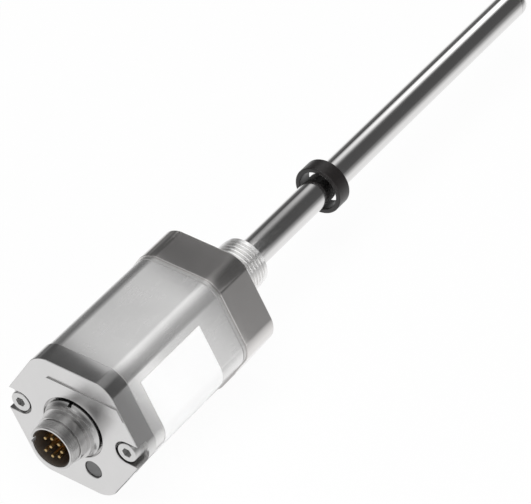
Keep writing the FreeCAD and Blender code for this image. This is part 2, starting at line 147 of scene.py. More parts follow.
class Value:
    """An output socket with arithmetic: each operation adds a Math node."""

    def __init__(self, graph: "Graph", socket: bpy.types.NodeSocket) -> None:
        """Keeps the socket that it reads and the graph that new nodes go into."""
        self.graph = graph
        self.socket = socket

    def _math(self, operation: str, first: Any, second: Any) -> "Value":
        """The result of a new Math node on two numbers or values."""
        return self.graph.node("ShaderNodeMath", {"operation": operation}, {0: first, 1: second})

    def __add__(self, other: Any) -> "Value":
        """This value plus another."""
        return self._math("ADD", self, other)

    __radd__ = __add__

    def __sub__(self, other: Any) -> "Value":
        """This value less another."""
        return self._math("SUBTRACT", self, other)

    def __rsub__(self, other: Any) -> "Value":
        """Another value less this one."""
        return self._math("SUBTRACT", other, self)

    def __mul__(self, other: Any) -> "Value":
        """This value times another."""
        return self._math("MULTIPLY", self, other)

    __rmul__ = __mul__

    def __truediv__(self, other: Any) -> "Value":
        """This value over another."""
        return self._math("DIVIDE", self, other)

    def __rtruediv__(self, other: Any) -> "Value":
        """Another value over this one."""
        return self._math("DIVIDE", other, self)

    def __pow__(self, other: Any) -> "Value":
        """This value to a power."""
        return self._math("POWER", self, other)

    def clamped(self) -> "Value":
        """This value kept between 0 and 1."""
        return self.graph.node("ShaderNodeClamp", {}, {0: self})


class Graph:
    """Builds the nodes of one material or of the world."""

    # Sockets of a Mix node: its two colours, and the colour that it gives.
    low_colour, high_colour, mixed_colour = 6, 7, 2

    def __init__(self, tree: bpy.types.NodeTree) -> None:
        """Starts from an empty tree."""
        self.tree = tree
        tree.nodes.clear()

    def node(self, kind: str, settings: dict[str, Any], inputs: dict[Any, Any], output: Any = 0) -> Value:
        """Adds any node.

        Args:
            kind: the node's type.
            settings: properties that are set first; "stops" gives a ramp's places and colours.
            inputs: socket name or number to a value, a number or a colour.
            output: name or number of the socket to read.

        Returns:
            The chosen output, or an empty value for a node that has none.
        """
        made = self.tree.nodes.new(kind)
        for key, setting in settings.items():
            if key == "stops":
                self._set_stops(made.color_ramp, setting)
            else:
                setattr(made, key, setting)
        for key, given in inputs.items():
            if isinstance(given, Value):
                self.tree.links.new(given.socket, made.inputs[key])
            else:
                made.inputs[key].default_value = given
        return Value(self, made.outputs[output] if made.outputs else None)

    @staticmethod
    def _set_stops(ramp: bpy.types.ColorRamp, stops: list[tuple[float, Colour]]) -> None:
        """Gives a ramp its stops.

        Args:
            ramp: the ramp to change.
            stops: places from 0 to 1 with their colours.
        """
        while len(ramp.elements) < len(stops):
            ramp.elements.new(1.0)
        for element, (place, colour) in zip(ramp.elements, stops):
            element.position = place
            element.color = (*colour, 1.0)

    def position(self) -> Value:
        """The point on the piece in millimetres."""
        place = self.node("ShaderNodeTexCoord", {}, {}, "Object")
        return self.node("ShaderNodeVectorMath", {"operation": "SCALE"}, {0: place, "Scale": 1 / MM})

    def parts(self, vector: Value) -> tuple[Value, Value, Value]:
        """The three components of a vector."""
        split = self.node("ShaderNodeSeparateXYZ", {}, {0: vector}).socket.node
        return tuple(Value(self, split.outputs[k]) for k in range(3))

    def vector(self, x: Any, y: Any, z: Any) -> Value:
        """A vector from three values."""
        return self.node("ShaderNodeCombineXYZ", {}, {0: x, 1: y, 2: z})

    def noise(self, place: Value, scale: float, detail: float, rough: float) -> Value:
        """Soft noise from 0 to 1, with its spots per millimetre and its finer layers' number and strength."""
        return self.node("ShaderNodeTexNoise", {},
                         {0: place, "Scale": scale, "Detail": detail, "Roughness": rough})

    def mix(self, share: Value, low: Colour, high: Colour) -> Value:
        """A colour between two others."""
        colours = {self.low_colour: (*low, 1.0), self.high_colour: (*high, 1.0)}
        return self.node("ShaderNodeMix", {"data_type": "RGBA"}, {0: share, **colours}, self.mixed_colour)

    def bump(self, height: Value, distance: float) -> Value:
        """A normal bent by a height from 0 to 1, of which 1 stands out by a distance in millimetres."""
        return self.node("ShaderNodeBump", {}, {"Height": height, "Distance": distance * MM, "Strength": 1.0})

    def glow(self, level: Any, colour: Any = WHITE) -> Value:
        """A surface that shines by itself."""
        return self.node("ShaderNodeEmission", {}, {0: colour, 1: level})


def painted(name: str, paint: Callable[[Graph], Value]) -> bpy.types.Material:
    """A new material.

    Args:
        name: the material's name.
        paint: adds its nodes and gives back the shader.

    Returns:
        The material.
    """
    material = bpy.data.materials.new(name)
    material.use_nodes = True
    graph = Graph(material.node_tree)
    graph.node("ShaderNodeOutputMaterial", {}, {0: paint(graph)})
    return material


def shaded(colour: Colour, factor: float) -> Colour:
    """A colour made lighter or darker."""
    return tuple(min(1.0, part * factor) for part in colour)


@dataclass(frozen=True)
class Finish:
    """A surface finish that makes its own material."""

    made: ClassVar[dict[str, bpy.types.Material]] = {}
    shades: ClassVar[tuple[float, float]] = (1.0, 1.0)

    name: str
    colour: Colour
    roughness: float

    def material(self) -> bpy.types.Material:
        """Makes the material once and gives it back later.

        Returns:
            The material with this finish's nodes.
        """
        if self.name not in self.made:
            self.made[self.name] = painted(self.name, self.shader)
        return self.made[self.name]

    def shader(self, graph: Graph) -> Value:
        """The shader, from what is the same all over the surface and what changes over it."""
        return graph.node("ShaderNodeBsdfPrincipled", {}, {**self.constants(), **self.varying(graph)})

    def constants(self) -> dict[str, float]:
        """What is the same all over the surface, by socket."""
        return {}

    def varying(self, graph: Graph) -> dict[str, Value]:
        """What changes over the surface, by socket."""
        raise NotImplementedError

    def tint(self, graph: Graph, share: Value) -> Value:
        """The finish's colour between its darker and its lighter shade."""
        dark, light = (shaded(self.colour, factor) for factor in self.shades)
        return graph.mix(share, dark, light)

    @staticmethod
    def surface(tint: Value, gloss: Value, normal: Value) -> dict[str, Value]:
        """Colour, roughness and bent normal, by socket."""
        return {"Base Color": tint, "Roughness": gloss.clamped(), "Normal": normal}


@dataclass(frozen=True)
class WorkedMetal(Finish):
    """Drawn, turned or ground metal with fine lines and faint smudges."""

    shades: ClassVar[tuple[float, float]] = (0.94, 1.05)
    drawn_stretch: ClassVar[float] = 0.02
    turned_stretch: ClassVar[float] = 0.01
    ground_stretch: ClassVar[tuple[float, float]] = (0.05, 0.3)
    smudges_per_mm: ClassVar[float] = 0.12
    specks_per_mm: ClassVar[float] = 2.4
    smudge_share: ClassVar[float] = 0.7
    line_share: ClassVar[float] = 0.8

    grain: Grain
    lines_per_mm: float = 6.0
    depth: float = 0.004
    spread: float = 0.06
    metallic: float = 1.0

    def constants(self) -> dict[str, float]:
        """Metal all over."""
        return {"Metallic": self.metallic, "IOR": 1.5}

    def varying(self, graph: Graph) -> dict[str, Value]:
        """Fine lines in bump and gloss, and soft smudges in gloss and colour.

        Args:
            graph: the material's node builder.

        Returns:
            Values for the shader's sockets.
        """
        place = graph.position()
        x, y, z = graph.parts(place)
        if self.grain is Grain.ALONG:
            stretched = graph.vector(x * self.drawn_stretch, y, z)
        elif self.grain is Grain.AROUND:
            radius = (y * y + z * z) ** 0.5
            stretched = graph.vector(x, radius, y * self.turned_stretch)
        else:
            along, across = self.ground_stretch
            stretched = graph.vector(x * along, y * across, z * across)
        lines = graph.noise(stretched, self.lines_per_mm, detail=3.0, rough=0.6)
        smudges = graph.noise(place, self.smudges_per_mm, detail=3.0, rough=0.55)
        specks = graph.noise(place, self.specks_per_mm, detail=2.0, rough=0.6)
        share = smudges * self.smudge_share + lines * (1.0 - self.smudge_share)
        gloss = self.gloss(x) + (lines - 0.5) * self.spread + (smudges - 0.5) * self.spread
        height = lines * self.line_share + specks * (1.0 - self.line_share)
        return self.surface(self.tint(graph, share.clamped()), gloss, graph.bump(height, self.depth))

    def gloss(self, x: Value) -> Any:
        """The roughness at a station, before lines and smudges."""
        return self.roughness


@dataclass(frozen=True)
class FacedMetal(WorkedMetal):
    """Worked metal with a rougher, ground face at its rear end."""

    face_run: ClassVar[float] = 0.1

    face: float = 0.0
    face_roughness: float = 0.3

    def gloss(self, x: Value) -> Value:
        """The face's roughness up to its station, and the polished sides' from there on."""
        behind = ((x - self.face) / self.face_run).clamped()
        return behind * (self.roughness - self.face_roughness) + self.face_roughness


@dataclass(frozen=True)
class Moulded(Finish):
    """Moulded plastic or rubber with a fine grain."""

    shades: ClassVar[tuple[float, float]] = (0.86, 1.14)
    clouds_per_mm: ClassVar[float] = 0.25
    cloud_gloss: ClassVar[float] = 0.12
    grain_gloss: ClassVar[float] = 0.08

    grain_per_mm: float = 5.0
    depth: float = 0.01
    coat: float = 0.0

    def constants(self) -> dict[str, float]:
        """A plain dielectric, with a coat where the piece is glossy."""
        return {"Metallic": 0.0, "IOR": 1.47, "Coat Weight": self.coat, "Coat Roughness": 0.1}

    def varying(self, graph: Graph) -> dict[str, Value]:
        """Grain in bump, and slow changes in colour and gloss.

        Args:
            graph: the material's node builder.

        Returns:
            Values for the shader's sockets.
        """
        place = graph.position()
        grain = graph.noise(place, self.grain_per_mm, detail=2.0, rough=0.6)
        clouds = graph.noise(place, self.clouds_per_mm, detail=2.0, rough=0.5)
        gloss = self.roughness + (clouds - 0.5) * self.cloud_gloss + (grain - 0.5) * self.grain_gloss
        return self.surface(self.tint(graph, clouds), gloss, graph.bump(grain, self.depth))


@dataclass(frozen=True)
class Foil(Finish):
    """Label foil: an even white with a faint fibre."""

    shades: ClassVar[tuple[float, float]] = (0.985, 1.0)
    fibres_per_mm: ClassVar[float] = 3.0
    clouds_per_mm: ClassVar[float] = 0.15
    fibre_gloss: ClassVar[float] = 0.1
    fibre_depth: ClassVar[float] = 0.004

    def constants(self) -> dict[str, float]:
        """A plain sheet with a thin clear coat."""
        return {"Metallic": 0.0, "IOR": 1.45, "Coat Weight": 0.15, "Coat Roughness": 0.25}

    def varying(self, graph: Graph) -> dict[str, Value]:
        """Fibre in bump, and a hardly seen change of white.

        Args:
            graph: the material's node builder.

        Returns:
            Values for the shader's sockets.
        """
        place = graph.position()
        fibre = graph.noise(place, self.fibres_per_mm, detail=3.0, rough=0.6)
        clouds = graph.noise(place, self.clouds_per_mm, detail=2.0, rough=0.5)
        gloss = self.roughness + (fibre - 0.5) * self.fibre_gloss
        return self.surface(self.tint(graph, clouds), gloss, graph.bump(fibre, self.fibre_depth))


@dataclass(frozen=True)
class Laminate(Finish):
    """Circuit board: green resist with straight copper tracks under it."""

    shades: ClassVar[tuple[float, float]] = (1.0, 1.7)
    break_stretch: ClassVar[tuple[float, float]] = (0.1, 0.8)
    break_limit: ClassVar[float] = 0.42
    break_slope: ClassVar[float] = 12.0
    track_limit: ClassVar[float] = 2.4
    track_slope: ClassVar[float] = 4.0
    track_gloss: ClassVar[float] = 0.08
    track_height: ClassVar[float] = 0.03

    track_pitch: float = 1.1

    def constants(self) -> dict[str, float]:
        """Resist with a clear coat."""
        return {"Metallic": 0.0, "IOR": 1.5, "Coat Weight": 0.5, "Coat Roughness": 0.15}

    def varying(self, graph: Graph) -> dict[str, Value]:
        """Tracks in colour and bump, broken up so that they end here and there.

        Args:
            graph: the material's node builder.

        Returns:
            Values for the shader's sockets.
        """
        x, y, z = graph.parts(graph.position())
        wave = graph.node("ShaderNodeMath", {"operation": "PINGPONG"}, {0: y, 1: self.track_pitch})
        along, across = self.break_stretch
        breaks = graph.noise(graph.vector(x * along, y * across, z), 1.0, detail=1.0, rough=0.5)
        near = (wave / self.track_pitch * self.track_slope - self.track_limit).clamped()
        tracks = near * ((breaks - self.break_limit) * self.break_slope).clamped()
        gloss = self.roughness + tracks * self.track_gloss
        return self.surface(self.tint(graph, tracks), gloss, graph.bump(tracks, self.track_height))


@dataclass(frozen=True)
class Winding(Finish):
    """Enamelled copper wire, wound side by side."""

    shades: ClassVar[tuple[float, float]] = (0.6, 1.15)
    turn_stretch: ClassVar[tuple[float, float]] = (4.0, 0.05)
    groove_shade_share: ClassVar[float] = 0.6
    ridge_height: ClassVar[float] = 0.05
    groove_gloss: ClassVar[float] = 0.2

    pitch: float = 0.12

    def constants(self) -> dict[str, float]:
        """Copper under a coat of enamel."""
        return {"Metallic": 1.0, "IOR": 1.5, "Coat Weight": 0.6, "Coat Roughness": 0.12}

    def varying(self, graph: Graph) -> dict[str, Value]:
        """One ridge for each turn, with painted shade in the grooves between turns, and turns that differ a
        little in colour.

        Args:
            graph: the material's node builder.

        Returns:
            Values for the shader's sockets.
        """
        x, y, z = graph.parts(graph.position())
        turn = graph.node("ShaderNodeMath", {"operation": "PINGPONG"}, {0: x, 1: self.pitch / 2})
        ridge = (turn / (self.pitch / 2)) ** 0.5
        along, across = self.turn_stretch
        differ = graph.noise(graph.vector(x * along, y * across, z * across), 1.0, detail=1.0, rough=0.5)
        # The colour is darker in the grooves between turns, which is painted shade, and also varies a little
        # at random from turn to turn.
        share = ridge * self.groove_shade_share + differ * (1.0 - self.groove_shade_share)
        gloss = self.roughness + (1.0 - ridge) * self.groove_gloss
        return self.surface(self.tint(graph, share.clamped()), gloss, graph.bump(ridge, self.ridge_height))


# The cap's front plane, and how far its ground finish reaches over the broken edge.
CAP_FRONT = start_of("rear_cap") + BAR_HEIGHT
FACE_WRAP = 0.2

CAP_METAL = FacedMetal("cap_metal", (0.66, 0.655, 0.653), 0.15, Grain.ACROSS, 6.0, 0.0008, 0.04,
                       face=CAP_FRONT + FACE_WRAP, face_roughness=0.29)
TUBE_METAL = WorkedMetal("tube_satin", (0.77, 0.765, 0.762), 0.26, Grain.ALONG, 7.0, 0.0008, metallic=0.95)
COLLAR_METAL = WorkedMetal("collar_satin", (0.66, 0.655, 0.65), 0.30, Grain.ALONG, 7.0, 0.0008, metallic=0.95)
FLANGE_STEEL = WorkedMetal("flange_steel", (0.722, 0.703, 0.692), 0.14, Grain.ACROSS, 6.0, 0.0008, 0.04)
THREAD_STEEL = WorkedMetal("thread_steel", (0.86, 0.855, 0.85), 0.24, Grain.AROUND, 8.0, 0.0002, 0.04)
ROD_STEEL = WorkedMetal("rod_steel", (0.72, 0.712, 0.708), 0.13, Grain.ALONG, 6.0, 0.001, 0.04)
SCREW_STEEL = WorkedMetal("screw_steel", (0.63, 0.63, 0.625), 0.30, Grain.AROUND, lines_per_mm=9.0)
SHELL_NICKEL = WorkedMetal("shell_nickel", (0.58, 0.575, 0.572), 0.22, Grain.ALONG, 2.5, 0.003, 0.06)
PIN_GOLD = WorkedMetal("pin_gold", (0.46, 0.33, 0.155), 0.38, Grain.AROUND, lines_per_mm=10.0)
SMALL_BRASS = WorkedMetal("small_brass", (0.70, 0.52, 0.24), 0.30, Grain.AROUND)
WIRE_ALLOY = WorkedMetal("wire_alloy", (0.55, 0.54, 0.52), 0.30, Grain.ALONG)
CAN_METAL = WorkedMetal("can_metal", (0.66, 0.67, 0.69), 0.30, Grain.ACROSS)
SINTERED = Moulded("sintered_magnet", (0.10, 0.10, 0.105), 0.55, 6.0, 0.03)
MAGNET_BLACK = Moulded("magnet_black", (0.013, 0.011, 0.0108), 0.34, 4.0, 0.008)
INSERT_PLASTIC = Moulded("insert_brown", (0.58, 0.30, 0.09), 0.45, 5.0, 0.01)
SLEEVE_GREY = Moulded("sleeve_grey", (0.085, 0.072, 0.060), 0.45, 5.0, 0.008)
WINDOW_SMOKE = Moulded("window_smoke", (0.20, 0.20, 0.20), 0.50, 3.0, 0.004)
GASKET_GREY = Moulded("gasket_grey", (0.33, 0.325, 0.32), 0.55, 6.0, 0.01)
SEAL_RUBBER = Moulded("seal_rubber", (0.03, 0.03, 0.03), 0.62, 6.0, 0.015)
DAMPER_RUBBER = Moulded("damper_rubber", (0.08, 0.07, 0.07), 0.70, 4.0, 0.02)
CRADLE_PLASTIC = Moulded("cradle_plastic", (0.10, 0.10, 0.11), 0.50, 5.0, 0.01)
CHIP_BLACK = Moulded("chip_black", (0.03, 0.03, 0.03), 0.45, 8.0, 0.01)
HEADER_CREAM = Moulded("header_cream", (0.78, 0.75, 0.66), 0.45, 5.0, 0.008)
LEAD_SLEEVE = Moulded("lead_sleeve", (0.14, 0.14, 0.15), 0.55, 6.0, 0.02)
WHITE_SLEEVE = Moulded("white_sleeve", (0.84, 0.84, 0.82), 0.40, 5.0, 0.006)
RED_INSULATION = Moulded("red_insulation", (0.55, 0.07, 0.045), 0.35, 6.0, 0.006, 0.3)
BOBBIN_PLASTIC = Moulded("bobbin_plastic", (0.74, 0.70, 0.60), 0.45, 5.0, 0.008)
LAMP_CLEAR = Moulded("lamp_clear", (0.82, 0.83, 0.74), 0.20, 4.0, 0.003, 0.8)
LABEL_WHITE = Foil("label_white", (0.93, 0.93, 0.93), 0.45)
BOARD_GREEN = Laminate("board_green", (0.025, 0.17, 0.065), 0.32)
COIL_COPPER = Winding("coil_copper", (0.66, 0.31, 0.13), 0.30)


class Bench:
    """One mesh object, shaped with Blender's own operators. Sizes are in millimetres."""

    def __init__(self, name: str) -> None:
        """Takes over the object that was just added, with its place put into its mesh.

        Args:
            name: the piece's name.
        """
        bpy.ops.object.transform_apply(location=True, rotation=True, scale=True)
        self.obj: bpy.types.Object = bpy.context.object
        self.obj.name = name
        self.obj.data.name = name

    @staticmethod
    def clear() -> None:
        """Leaves edit mode and deselects everything."""
        if bpy.context.mode != "OBJECT":
            bpy.ops.object.mode_set(mode="OBJECT")
        bpy.ops.object.select_all(action="DESELECT")

    @classmethod
    def bar(cls, name: str, sides: int, radius: float, x0: float, x1: float,
            y: float = 0.0, z: float = 0.0) -> "Bench":
        """A bar parallel to the axis with a corner towards +Y.

        Args:
            name: the piece's name.
            sides: corners of its section.
            radius: distance from its middle to a corner.
            x0: start along the axis.
            x1: end along the axis.
            y: place of its middle.
            z: place of its middle.

        Returns:
            The new piece.
        """
        cls.clear()
        bpy.ops.mesh.primitive_cylinder_add(
            vertices=sides, radius=radius * MM, depth=(x1 - x0) * MM,
            location=metres(((x0 + x1) / 2, y, z)), rotation=(0, math.pi / 2, 0))
        return cls(name)

    @classmethod
    def hexagon(cls, name: str, flats: float, corner: float, x0: float, x1: float) -> "Bench":
        """A hexagonal bar on the axis with rounded corners and a flat on top.

        Args:
            name: the piece's name.
            flats: size across flats.
            corner: radius of its long corners.
            x0: start along the axis.
            x1: end along the axis.

        Returns:
            The new piece.
        """
        piece = cls.bar(name, 6, flats / math.sqrt(3), x0, x1)
        piece.bevel(lambda a, b: abs(a.x - b.x) > (x1 - x0) / 2, corner * math.tan(math.pi / 6), CORNER_STEPS)
        return piece

    @classmethod
    def box(cls, name: str, low: Point, high: Point) -> "Bench":
        """A block between two corners.

        Args:
            name: the piece's name.
            low: its lowest corner.
            high: its highest corner.

        Returns:
            The new piece.
        """
        cls.clear()
        bpy.ops.mesh.primitive_cube_add(
            size=1.0, location=[(a + b) / 2 * MM for a, b in zip(low, high)],
            scale=[(b - a) * MM for a, b in zip(low, high)])
        return cls(name)

    @classmethod
    def turned(cls, name: str, profile: Profile) -> "Bench":
        """A closed ring turned about the axis: a circle extruded and resized from station to station.

        Args:
            name: the piece's name.
            profile: (station, radius) points round the section, each once.

        Returns:
            The new piece.
        """
        cls.clear()
        x, radius = profile[0]
        bpy.ops.mesh.primitive_circle_add(vertices=ROUND, radius=radius * MM, fill_type="NOTHING",
                                          location=metres((x, 0, 0)), rotation=(0, math.pi / 2, 0))
        piece = cls(name)
        with piece.editing(Pick.EDGES):
            bpy.ops.mesh.select_all(action="SELECT")
            for station, size in profile[1:] + profile[:1]:
                bpy.ops.mesh.extrude_edges_move(TRANSFORM_OT_translate={"value": metres((station - x, 0, 0))})
                bpy.ops.transform.resize(value=(1, size / radius, size / radius),
                                         center_override=metres((station, 0, 0)))
                x, radius = station, size
        piece.weld()
        return piece

    @classmethod
    def line(cls, name: str, points: Profile) -> "Bench":
        """A bent line in the upright plane through the axis, drawn by extruding one point.

        Args:
            name: the piece's name.
            points: (station, radius) points along the line.

        Returns:
            The new piece.
        """
        cls.clear()
        bpy.ops.mesh.primitive_plane_add(size=MM, location=metres((points[0][0], 0, points[0][1])))
        piece = cls(name)
        with piece.editing(Pick.POINTS):
            bpy.ops.mesh.select_all(action="SELECT")
            bpy.ops.mesh.merge(type="CENTER")
            for (x0, r0), (x1, r1) in zip(points, points[1:]):
                bpy.ops.mesh.extrude_vertices_move(
                    TRANSFORM_OT_translate={"value": metres((x1 - x0, 0, r1 - r0))})
        return piece

    @contextmanager
    def editing(self, pick: Pick) -> Iterator[None]:
        """Edit mode on this piece alone.

        Args:
            pick: what a selection is made of.
        """
        self.activate()
        bpy.context.tool_settings.mesh_select_mode = pick.value
        bpy.ops.object.mode_set(mode="EDIT")
        yield
        bpy.ops.object.mode_set(mode="OBJECT")

    def activate(self) -> None:
        """Selects this piece alone."""
        self.clear()
        self.obj.select_set(True)
        bpy.context.view_layer.objects.active = self.obj

    def point(self, index: int) -> Vector:
        """The place of one vertex in millimetres."""
        return self.obj.data.vertices[index].co / MM

    def select_none(self) -> None:
        """Deselects the whole mesh."""
        mesh = self.obj.data
        for group in (mesh.vertices, mesh.edges, mesh.polygons):
            group.foreach_set("select", [False] * len(group))

    def select_points(self, test: PointTest) -> None:
        """Selects some vertices.

        Args:
            test: says which, by their place.
        """
        self.select_none()
        for vertex in self.obj.data.vertices:
            vertex.select = test(vertex.co / MM)

    def select_edges(self, test: PairTest) -> None:
        """Selects some edges.

        Args:
            test: says which, by their two ends.
        """
        self.select_none()
        for edge in self.obj.data.edges:
            edge.select = test(*(self.point(k) for k in edge.vertices))

    def select_faces(self, test: PairTest) -> None:
        """Selects some faces.

        Args:
            test: says which, by their middle and normal.
        """
        self.select_none()
        for face in self.obj.data.polygons:
            face.select = test(face.center / MM, face.normal)

    def bevel(self, test: PairTest, width: float, steps: int) -> None:
        """Rounds or breaks chosen edges.

        Args:
            test: says which edges, by their ends.
            width: how far the new edges lie from the old ones.
            steps: facets across the new surface.
        """
        self.select_edges(test)
        with self.editing(Pick.EDGES):
            bpy.ops.mesh.bevel(offset=width * MM, offset_type="OFFSET", segments=steps, profile=0.5,
                               affect="EDGES", clamp_overlap=False)

    def move_points(self, test: PointTest, by: Point) -> None:
        """Moves chosen vertices.

        Args:
            test: says which vertices, by their place.
            by: how far.
        """
        self.select_points(test)
        with self.editing(Pick.POINTS):
            bpy.ops.transform.translate(value=metres(by))

    def inset(self, test: PairTest, width: float, out: Point) -> None:
        """Insets chosen faces and moves them.

        Args:
            test: says which faces, by their middle and normal.
            width: how far the new outline lies inside the old one.
            out: how far the inner face moves.
        """
        self.select_faces(test)
        with self.editing(Pick.FACES):
            bpy.ops.mesh.inset(thickness=width * MM)
            bpy.ops.transform.translate(value=metres(out))

    def bisect(self, place: Point, normal: Point, fill: bool) -> None:
        """Cuts the piece with a plane and drops what lies on the normal's side.

        Args:
            place: a point on the plane.
            normal: the side that goes.
            fill: whether the cut is closed with a face.
        """
        with self.editing(Pick.FACES):
            bpy.ops.mesh.select_all(action="SELECT")
            bpy.ops.mesh.bisect(plane_co=metres(place), plane_no=normal, use_fill=fill,
                                clear_outer=True, threshold=WELD)

    def weld(self) -> None:
        """Merges doubled vertices and turns all faces outwards."""
        with self.editing(Pick.POINTS):
            bpy.ops.mesh.select_all(action="SELECT")
            bpy.ops.mesh.remove_doubles(threshold=WELD)
            bpy.ops.mesh.normals_make_consistent(inside=False)

    def modify(self, kind: str, **settings: Any) -> None:
        """Adds one modifier and applies it.

        Args:
            kind: the modifier's type.
            settings: its properties.
        """
        self.activate()
        bpy.ops.object.modifier_add(type=kind)
        modifier = self.obj.modifiers[-1]
        for key, setting in settings.items():
            setattr(modifier, key, setting)
        bpy.ops.object.modifier_apply(modifier=modifier.name)

    def join(self, how: Join, tool: "Bench") -> None:
        """Cuts or fuses another solid, or keeps what both share, and uses the other one up."""
        self.modify("BOOLEAN", operation=how.value, object=tool.obj, solver="EXACT")
        bpy.data.objects.remove(tool.obj)

    def cut_bar(self, sides: int, radius: float, x0: float, x1: float,
                y: float = 0.0, z: float = 0.0) -> None:
        """Bores a hole parallel to the axis."""
        self.join(Join.CUT, Bench.bar("drill", sides, radius, x0, x1, y, z))

    def sink_bar(self, radius: float, face: float, floor: float, edge: float,
                 y: float = 0.0, z: float = 0.0) -> None:
        """Bores a hole with a chamfered mouth into a face that looks along -X.

        Args:
            radius: the hole's radius.
            face: station of the face.
            floor: station of the hole's end.
            edge: width of the chamfer.
            y: place of its middle.
            z: place of its middle.
        """
        drill = Bench.bar("drill", MID_ROUND, radius, face + edge, floor, y, z)
        drill.select_faces(lambda middle, normal: normal.x < -FACING)
        grow = (radius + 2 * edge) / radius
        with drill.editing(Pick.FACES):
            bpy.ops.mesh.extrude_region_move(TRANSFORM_OT_translate={"value": metres((-2 * edge, 0, 0))})
            bpy.ops.transform.resize(value=(1, grow, grow), center_override=metres((0, y, z)))
        self.join(Join.CUT, drill)

    def soften(self, width: float, angle: float = 35.0) -> None:
        """Breaks every edge that bends by more than an angle in degrees."""
        self.modify("BEVEL", width=width * MM, segments=2, limit_method="ANGLE",
                    angle_limit=math.radians(angle), use_clamp_overlap=True)

    def copy_to(self, name: str, by: Point) -> "Bench":
        """A copy with its own mesh, moved.

        Args:
            name: the copy's name.
            by: how far it is moved.

        Returns:
            The copy.
        """
        self.activate()
        bpy.ops.object.duplicate(linked=False)
        bpy.ops.transform.translate(value=metres(by))
        return Bench(name)

    def finish(self, finish: Finish, slot: str, nodes: tuple[str, ...], body: str = "sensor") -> None:
        """Smooths the piece, gives it its finish and sets it on its body.

        Args:
            finish: the surface finish.
            slot: a material slot's name; not used.
            nodes: the CAD nodes that it stands for.
            body: the body that it moves with.
        """
        self.activate()
        bpy.ops.object.shade_smooth_by_angle(angle=SHARP_ANGLE)
        self.modify("WEIGHTED_NORMAL", mode="FACE_AREA", weight=50, keep_sharp=True)
        self.obj.data.materials.clear()
        self.obj.data.materials.append(finish.material())
        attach(self.obj, body)
        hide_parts(*nodes)
        log.info("%s: %d faces, %s", self.obj.name, len(self.obj.data.polygons), finish.name)


def dress(node: str, finish: Finish) -> None:
    """Gives a CAD node that stays a finish.

    Args:
        node: the node's name.
        finish: its surface finish.
    """
    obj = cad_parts[node]
    obj.data.materials.clear()
    obj.data.materials.append(finish.material())
    log.info("%s: dressed in %s", node, finish.name)


@dataclass(frozen=True)
class Thread:
    """A right-handed helical thread on the axis. Shares are parts of its pitch."""

    radius: float
    pitch: float
    start: float
    end: float
    lead: float
    tail: float
    depth_share: float
    root_share: float
    crest_share: float
    steps: int = 72
    core_share: float = 0.1
    inner_share: float = 0.2
    spare_turns: int = 2
    cover: float = 0.05

    @property
    def root(self) -> float:
        """Radius of the groove between two ridges."""
        return self.radius - self.depth_share * self.pitch

    @property
    def core(self) -> float:
        """Radius of the plain bar that the thread is joined to."""
        return self.root - self.core_share * self.pitch

    def build(self) -> Bench:
        """Winds one tooth round the axis, trims both ends flat and breaks them with a cone.

        Returns:
            A closed solid with ridges outside.
        """
        flank = (1 - self.root_share - self.crest_share) / 2
        rise = self.root_share + flank
        tooth = [(0.0, self.root), (self.root_share, self.root), (rise, self.radius),
                 (rise + self.crest_share, self.radius), (1.0, self.root)]
        first = self.start - self.spare_turns * self.pitch
        piece = Bench.line("thread", [(first + share * self.pitch, radius) for share, radius in tooth])
        turns = math.ceil((self.end - self.start) / self.pitch) + 2 * self.spare_turns
        piece.modify("SCREW", axis="X", angle=2 * math.pi, screw_offset=self.pitch * MM, iterations=turns,
                     steps=self.steps, render_steps=self.steps, use_merge_vertices=True,
                     merge_threshold=WELD)
        piece.bisect((self.start, 0, 0), (-1, 0, 0), fill=True)
        piece.bisect((self.end, 0, 0), (1, 0, 0), fill=True)
        piece.weld()
        front, back = self.start - self.lead, self.end + self.tail
        outside, inside = self.radius + self.cover, self.core - self.inner_share * self.pitch
        envelope = Bench.turned("envelope", [
            (front, inside), (front, self.core), (self.start + self.lead, outside),
            (self.end - self.tail, outside), (back, self.core), (back, inside)])
        piece.join(Join.KEEP_COMMON, envelope)
        return piece


